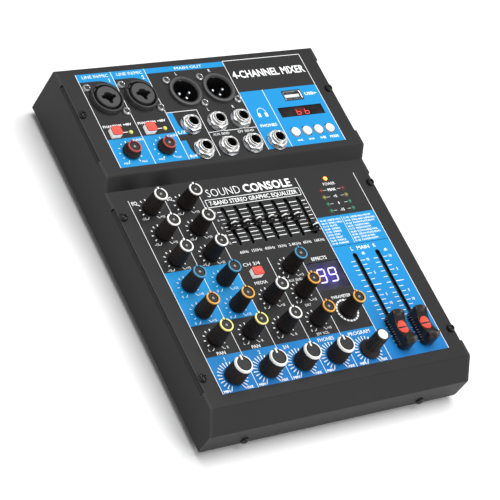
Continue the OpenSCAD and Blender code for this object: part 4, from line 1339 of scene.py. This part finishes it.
def legend_raised():
    """The raised panel: channel headers, gain blocks, the player's area, lines and lettering."""
    left, right, front, rear = -87.2, 87.2, 174.5, 245.0
    posts = [left, -61.8, -36.7]
    media_x = 24.5
    # channel headers, their lower edges curved round the combo jacks
    for (cx, cy), x0, x1 in zip(COMBOS, posts, posts[1:]):
        foot = 239.0
        reach = foot - cy
        end = math.degrees(math.asin((x1 - cx) / reach))
        ink(R, "blue", [(x0, rear), (x0, foot)] + arc(cx, cy, reach, 0, end, 8) + [(x1, rear)])
    ink(R, "blue", box_outline(-36.4, 241, media_x, 244.9))
    # gain blocks, with a hole for each spindle and button
    for (gx, gy), x0, x1 in zip(GAINS, posts, posts[1:]):
        ink(R, "blue", box_outline(x0, front, x1, 195.3), [circle(gx, gy, SPINDLE_HOLE)])
    for foot, top, bend in ((193.0, 209.9, 201.0), (front, 188.5, 182.0)):
        ink(R, "blue", [
            (-36.4, foot), (-36.4, top), (-32.1, top), (-32.1, bend), (-31.2, bend - 3), (-29.8, foot + 2.4),
            (-28.2, foot)])
    # headphone, USB and player area
    holes = [circle(x, y, 4.9) for x, y in JACKS if x > media_x]
    holes += [circle(x, y, 3.85) for x, y in MEDIA]
    holes.append(box_outline(USB[0] - 7.4, USB[1] - 3.7, USB[0] + 7.4, USB[1] + 3.7))
    low, high = max(solids("display_modules"), key=lambda b: b[1].z)
    (dx0, dy0), (dx1, dy1) = on_casing(low), on_casing(high)
    holes.append(box_outline(dx0 - 0.2, dy0 - 0.2, dx1 + 0.2, dy1 + 0.2))
    ink(R, "blue", box_outline(media_x + 0.3, front, right, 219.8), holes)
    # white lines
    for x in (*posts, media_x, right):
        line(R, x, front, x, rear)
    line(R, -13.4, front, -13.4, 210.3)
    line(R, 43.4, front, 43.4, 219.8)
    line(R, media_x, rear, right, rear)
    line(R, -36.7, 210.2, -13.4, 210.2)
    line(R, -13.4, 192.3, media_x, 192.3)
    # lettering
    for k, (cx, _) in enumerate(COMBOS):
        words(R, "LINE IN/MIC", cx + 0.4, 242.6, 2.2, 19)
        words(R, str(k + 1), posts[k + 1] - 3.2, 238.7, 2.6, weight=0.02)
    for (x, _), letter in zip(OUTPUTS, "LR"):
        words(R, letter, x + 0.4, 238.9, 2.2)
    for label in (
            ("MAIN OUT", -3.5, 243.0, 2.0, 21), ("L", -4.6, 209.6, 2.2), ("R", 14.8, 209.6, 2.2),
            ("AUX SEND", -4.4, 190.3, 1.7, 12.5), ("EFF SEND", 15.0, 190.3, 1.7, 12.5),
            ("L/3", -32.4, 194.8, 2.0, 5.2, 0.015), ("R/4", -32.4, 176.6, 2.0, 5.2, 0.015),
            ("PHONES", 34.2, 192.5, 2.1, 13, 0.015), ("USB", 78.4, 213.3, 2.2, 7.2, 0.025),
            ("4-CHANNEL MIXER", 56.0, 233.4, 5.4, 58.5, 0.022)):
        words(R, *label)
    ink(R, "white", [(82.4, 212.6), (85.0, 213.3), (82.4, 214.0)])
    for (x, y), mark in zip(MEDIA, ("<<", ">>", ">II", "MODE")):
        words(R, mark, x + 0.5, 178.4, 1.8, 7.0 if len(mark) > 3 else 4.4, weight=0.03)
    for (px, _), (gx, gy) in zip(PHANTOM, GAINS):
        words(R, "PHANTOM", px + 0.5, 204.9, 1.7, 13.2, weight=0.02)
        words(R, "+48V", px + 11.5, 205.1, 1.7, 6.2, weight=0.02)
        line(R, px + 4.2, 199.5, px + 9.4, 199.5, 0.45)
        words(R, "GAIN", gx + 9.0, 193.2, 1.7, 7)
        words(R, "MIN", gx - 6.5, 177.2, 1.3, 4)
        words(R, "MAX", gx + 6.5, 177.2, 1.3, 4)
        for k in range(11):
            a = -150 + 30 * k
            tick(R, gx + SCALE_SHIFT / 2, gy, a, 6.8, 7.8 if k % 5 else 8.4, 0.45, 0.65)
    # headphones: a band and two pads
    hx, hy = 34.0, 202.9
    band(R, hx, hy, 2.95, 3.3, -95, 95)
    for s in (-1, 1):
        ink(R, "white", box_outline(hx + s * 2.75 - 1.05, hy - 3.7, hx + s * 2.75 + 1.05, hy - 0.7))


def knob_ticks(panel, x, y, style, low_mark, high_mark):
    """The scale round a knob: nine marks, and at each end a bent line that leads to its label."""
    x += SCALE_SHIFT
    inner, outer = (0.5, 0.95) if style == "thick" else (0.35, 0.5)
    for k in range(9):
        tick(panel, x, y, -120 + 30 * k, 5.8, 7.2, inner, outer)
    for s, mark in ((-1, low_mark), (1, high_mark)):
        line(panel, x + s * 2.8, y - 5.6, x + s * 3.9, y - 7.1, 0.4)
        line(panel, x + s * 3.9, y - 7.1, x + s * 4.7, y - 7.1, 0.4)
        words(panel, mark, x + s * 6.7, y - 6.5, 1.6, 3.2 if len(mark) > 2 else None, weight=0.01)


def legend_strips():
    """The channel strips, from the front of the control panel to the step."""
    front, rear, edge = 19.3, 156.0, -87.2
    posts = [edge, -61.7, -36.3]
    top_row, blue0, blue1 = 43.9, 65.7, 103.3
    spindles = {n: middle(n) for n in list(SMALL_KNOBS) + LEVEL_KNOBS + ["program_knob"]}
    ink(C, "blue", box_outline(edge, blue0, posts[2], blue1),
        [circle(x, y, SPINDLE_HOLE) for x, y in spindles.values() if x < posts[2] and blue0 < y < blue1])
    ink(C, "blue", box_outline(edge, front, 40.0, top_row),
        [circle(x, y, SPINDLE_HOLE) for x, y in spindles.values() if x < 40 and y < top_row])
    for x in posts:
        line(C, x, front, x, rear)
    line(C, -10.7, front, -10.7, 102.7)
    line(C, 13.1, front, 13.1, 102.0)
    rows = {
        "pan": ("L", "R", "thick"), "effect": ("0", "+15", "thin"), "aux": ("0", "+15", "thin"),
        "low": ("-15", "+15", "thick"), "mid": ("-15", "+15", "thick"), "high": ("-15", "+15", "thick"),
    }
    for c in (1, 2):
        for row, (low_mark, high_mark, style) in rows.items():
            x, y = spindles[f"ch{c}_{row}_knob"]
            knob_ticks(C, x, y, style, low_mark, high_mark)
        words(C, "PAN", x - 0.7, 45.4, 2.1, 6.2, weight=0.02)
        words(C, "EQ", x - 9.2, y + 5.2, 2.4, 3.9, weight=0.02)
    others = {
        "line_balance_knob": ("", "L", "R"), "line_aux_knob": ("", "0", "+15"),
        "effect_return_knob": ("EFF VOL", "0", "+15"), "effect_send_knob": ("DRY", "0", "+15"),
        "aux_send_knob": ("AUX SEND", "0", "+15"),
    }
    for node, (label, low_mark, high_mark) in others.items():
        x, y = spindles[node]
        knob_ticks(C, x, y, "thick", low_mark, high_mark)
        if label:
            words(C, label, x - 0.7, y - 9.5, 1.8, 1.2 * len(label) + 1)
    titles = (("1", -0.6), ("2", -0.6), ("3/4", -6.2), ("PHONES", -1.1), ("PROGRAM", -0.8))
    for node, (label, dx) in zip(LEVEL_KNOBS + ["program_knob"], titles):
        x, y = spindles[node]
        wide = {1: None, 3: 4.4, 6: 12.2, 7: 16.8}[len(label)]
        words(C, label, x + dx, 41.3, 2.4, wide, weight=0.01)
        x += SCALE_SHIFT + 0.1
        for k in range(21):
            tick(C, x, y, -150 + 15 * k, 6.7, 10.0, 0.45, 0.75)
        for s, mark in ((-1, "MIN"), (1, "MAX")):
            line(C, x + s * 4.9, y - 8.5, x + s * 5.5, y - 9.2, 0.45)
            words(C, mark, x + s * 8.4, 20.6, 1.6, 4.6, weight=0.04)
    words(C, "CH 3/4", -24.1, 100.2, 2.3, 12.6)
    words(C, "MEDIA", -24.0, 86.6, 2.1, 9.5)
    # parameter scale: a thick segmented ring under its name
    px, py = spindles["parameter_knob"]
    for k in range(20):
        band(C, px, py, 6.9, 8.1, 18 * k, 18 * k + 13.5, 4)
    words(C, "PARAMETER", px + 0.8, 67.8, 2.0, 15.0, weight=0.01)


def legend_equaliser():
    """Title, caption and the graphic equaliser's scale."""
    words(C, "SOUND", -30.5, 153.6, 5.6, 25.5, weight=-0.012, across_x=0.0)
    words(C, "CONSOLE", -2.5, 153.6, 5.6, 37.5, weight=0.028, across_x=0.0)
    frame_line(C, -34.3, 143.2, 38.7, 149.1)
    words(C, "7-BAND STEREO GRAPHIC EQUALIZER", 2.2, 146.15, 2.9, 68, weight=0.012)
    xs = [middle(n)[0] for n in EQ_SLIDERS]
    slot_half = 1.9
    mid, pitch = 128.0, 2.78
    edges = [xs[0] - 5.0] + [x for pair in zip(xs, xs) for x in pair] + [xs[-1] + 5.0]
    for k in range(9):
        y = mid + (k - 4) * pitch
        width = 0.5 if k % 2 == 0 else 0.3
        for i in range(0, len(edges), 2):
            x0 = edges[i] + (0 if i == 0 else slot_half)
            x1 = edges[i + 1] - (0 if i == len(edges) - 2 else slot_half)
            line(C, x0, y, x1, y, width)
    for y, mark in ((139.2, "12"), (133.6, "6"), (128.0, "0"), (122.5, "6"), (116.8, "12")):
        words(C, mark, xs[0] - 6.9, y, 1.7)
    for x, mark in zip(xs, ("60Hz", "150Hz", "400Hz", "1KHz", "2.4KHz", "6KHz", "16KHz")):
        words(C, mark, x, 109.2, 1.9, 1.45 * len(mark) + 0.6)


def legend_output():
    """The blue section with the meter, the program list and the faders' scales."""
    x0, x1, front, rear = 40.3, 86.8, 19.3, 124.7
    fader_xs = [spot_mm(n)[0] for n in FADERS]
    slots = []
    for x in fader_xs:
        slots.append(
            arc(x, SLOT_Y + SLOT_HALF, 1.75, -90, 90, 10) + arc(x, SLOT_Y - SLOT_HALF, 1.75, 90, 270, 10))
    ink(C, "blue", box_outline(x0, front, x1, rear), slots)
    line(C, x0, 102.5, x1, 102.5, 0.35, "dark")
    line(C, x0 - 0.2, front, x0 - 0.2, 156.0)
    line(C, x1, front, x1, 154.0)
    words(C, "POWER", on_casing(power_light)[0] + 0.5, 148.5, 2.0, 9.5)
    columns = sorted({round(at.x / MM, 1) for at in meter_lights})
    levels = sorted({round(at.y / MM, 1) - FRONT_Y / MM for at in meter_lights}, reverse=True)
    centre = sum(columns) / 2
    for y, mark in zip(levels, ("PEAK", "+5", "0", "-15")):
        words(C, mark, centre, y, 1.9, 6.6 if len(mark) > 3 else None, weight=0.02)
        for x in columns:
            s = 1 if x < centre else -1
            line(C, x + s * 1.8, y, x + s * 4.6, y, 0.4, "grey")
    names = (
        "LARGE HALL", "SMALL HALL", "PLATE", "CHURCH", "SPRING", "ECHO", "DELAY", "CHORUS", "FLANGER")
    tails = ("ROOM", "LARGE HALL", "PLATE ECHO", "HALL")
    for k, label in enumerate(names):
        y = 122.1 - 2.19 * k
        for x, first, entry in ((41.8, 0, label), (60.5, 50, f"{label}+{tails[k % 4]}")):
            number = f"{first + 5 * k + 1:02d}-{first + 5 * k + 5:02d}"
            words(C, number, x, y, 1.25, 4.4, weight=0.02, across_x=0.0)
            wide = min(1.1 * len(entry), 19.2)
            words(C, entry, x + 5.6, y, 1.25, wide, weight=0.02, across_x=0.0)
    line(C, 59.3, 103.4, 59.3, 123.6, 0.3)
    for x, label, wide in (
            (fader_xs[0], "L", None), (sum(fader_xs) / 2, "MAIN", 9.8), (fader_xs[1], "R", None)):
        words(C, label, x, 99.2, 2.5, wide, weight=0.015)
    # marks closer together at both ends than in the middle; the longest one is nought
    nought = 71.5
    marks = [90.0, 86.7, 83.4, 80.1, 75.8, nought, 67.6, 63.8] + [63.8 - 3.25 * k for k in range(1, 12)]
    numbers = (
        ("dB", 94.9), ("10", 90.0), ("5", 80.1), ("5", 63.8), ("10", 57.3), ("20", 44.3), ("40", 31.3))
    for x in fader_xs:
        for y in marks:
            reach, width = (8.3, 0.5) if y == nought else (5.6, 0.38)
            line(C, x - 5.6, y, x - 2.2, y, width)
            line(C, x + 2.2, y, x + reach, y, width)
        for mark, y in numbers:
            words(C, mark, x + (6.9 if mark == "dB" else 8.0), y, 1.8, weight=0.02)


def legend_effects():
    """The name over the effect display."""
    low, high = min(solids("display_modules"), key=lambda b: b[1].z)
    (x0, _), (x1, rear) = on_casing(low), on_casing(high)
    words(C, "EFFECTS", (x0 + x1) / 2 - 0.3, rear + 2.5, 2.3, 11.8, weight=0.01)


legend_raised()
legend_strips()
legend_equaliser()
legend_output()
legend_effects()
INKS = {
    "white": (INK_WHITE, "print_white"), "blue": (INK_BLUE, "print_blue"), "dark": (INK_DARK, "print_blue"),
    "grey": (INK_GREY, "print_white"),
}
for (panel, name), parts in prints.items():
    material, slot = INKS[name]
    level = RAISED_Z if panel == R else CONTROL_Z
    piece(f"legend_{panel}_{name}", gather(parts), material, "casing", place(0, 0, level))

# ---- Floor, light and camera


def stage_floor():
    """A plain pale floor."""
    bm = bmesh.new()
    half = 6.0
    corners = ((-half, -half, 0), (half, -half, 0), (half, half, 0), (-half, half, 0))
    bm.faces.new([bm.verts.new(p) for p in corners])
    mesh = bpy.data.meshes.new("floor")
    bm.to_mesh(mesh)
    floor = bpy.data.objects.new("floor", mesh)
    mesh.materials.append(finish("floor_paper", "fbfbfb", 0.9, vary=0.01, patch=400, grain=30, depth=0.0))
    bpy.context.scene.collection.objects.link(floor)


def area_light(name, spot, aim, size, watts):
    """A soft area light aimed at a point."""
    made = bpy.data.lights.new(name, "AREA")
    made.shape = "RECTANGLE"
    made.size, made.size_y = size
    made.energy = watts
    lamp = bpy.data.objects.new(name, made)
    lamp.location = spot
    lamp.rotation_euler = (Vector(aim) - Vector(spot)).to_track_quat("-Z", "Y").to_euler()
    bpy.context.scene.collection.objects.link(lamp)


def light_scene():
    """A white room with a large soft light over the table and a weaker one in front of it."""
    world = bpy.data.worlds.new("studio")
    world.use_nodes = True
    back = world.node_tree.nodes["Background"]
    back.inputs["Color"].default_value = (1.0, 1.0, 1.0, 1)
    back.inputs["Strength"].default_value = 0.3
    scene = bpy.context.scene
    scene.world = world
    scene.view_settings.view_transform = "Standard"
    area_light("overhead", (0.15, 0.35, 1.5), (0, 0, 0.03), (1.6, 1.2), 30)
    area_light("front_fill", (0.7, -1.3, 0.8), (0, 0, 0.03), (1.0, 0.7), 9)


def add_camera():
    """A camera at the viewing angle: heading right of the depth axis, looking down, rolled."""
    aim = Vector((-0.0057, -0.0057, 0.0166))
    distance = 1.335
    heading, down, roll = math.radians(56.6), math.radians(44.84), math.radians(37.8)
    forward = Vector((
        math.sin(heading) * math.cos(down), math.cos(heading) * math.cos(down), -math.sin(down)))
    level = forward.cross(Vector((0, 0, 1))).normalized()
    upright = level.cross(forward)
    right = math.cos(roll) * level + math.sin(roll) * upright
    up = math.cos(roll) * upright - math.sin(roll) * level
    turn = Matrix((right, up, -forward)).transposed()
    made = bpy.data.cameras.new("camera")
    made.lens = 155.45
    made.sensor_width = 36
    camera = bpy.data.objects.new("camera", made)
    camera.matrix_world = Matrix.Translation(aim - distance * forward) @ turn.to_4x4()
    bpy.context.scene.collection.objects.link(camera)
    bpy.context.scene.camera = camera


stage_floor()
light_scene()
add_camera()
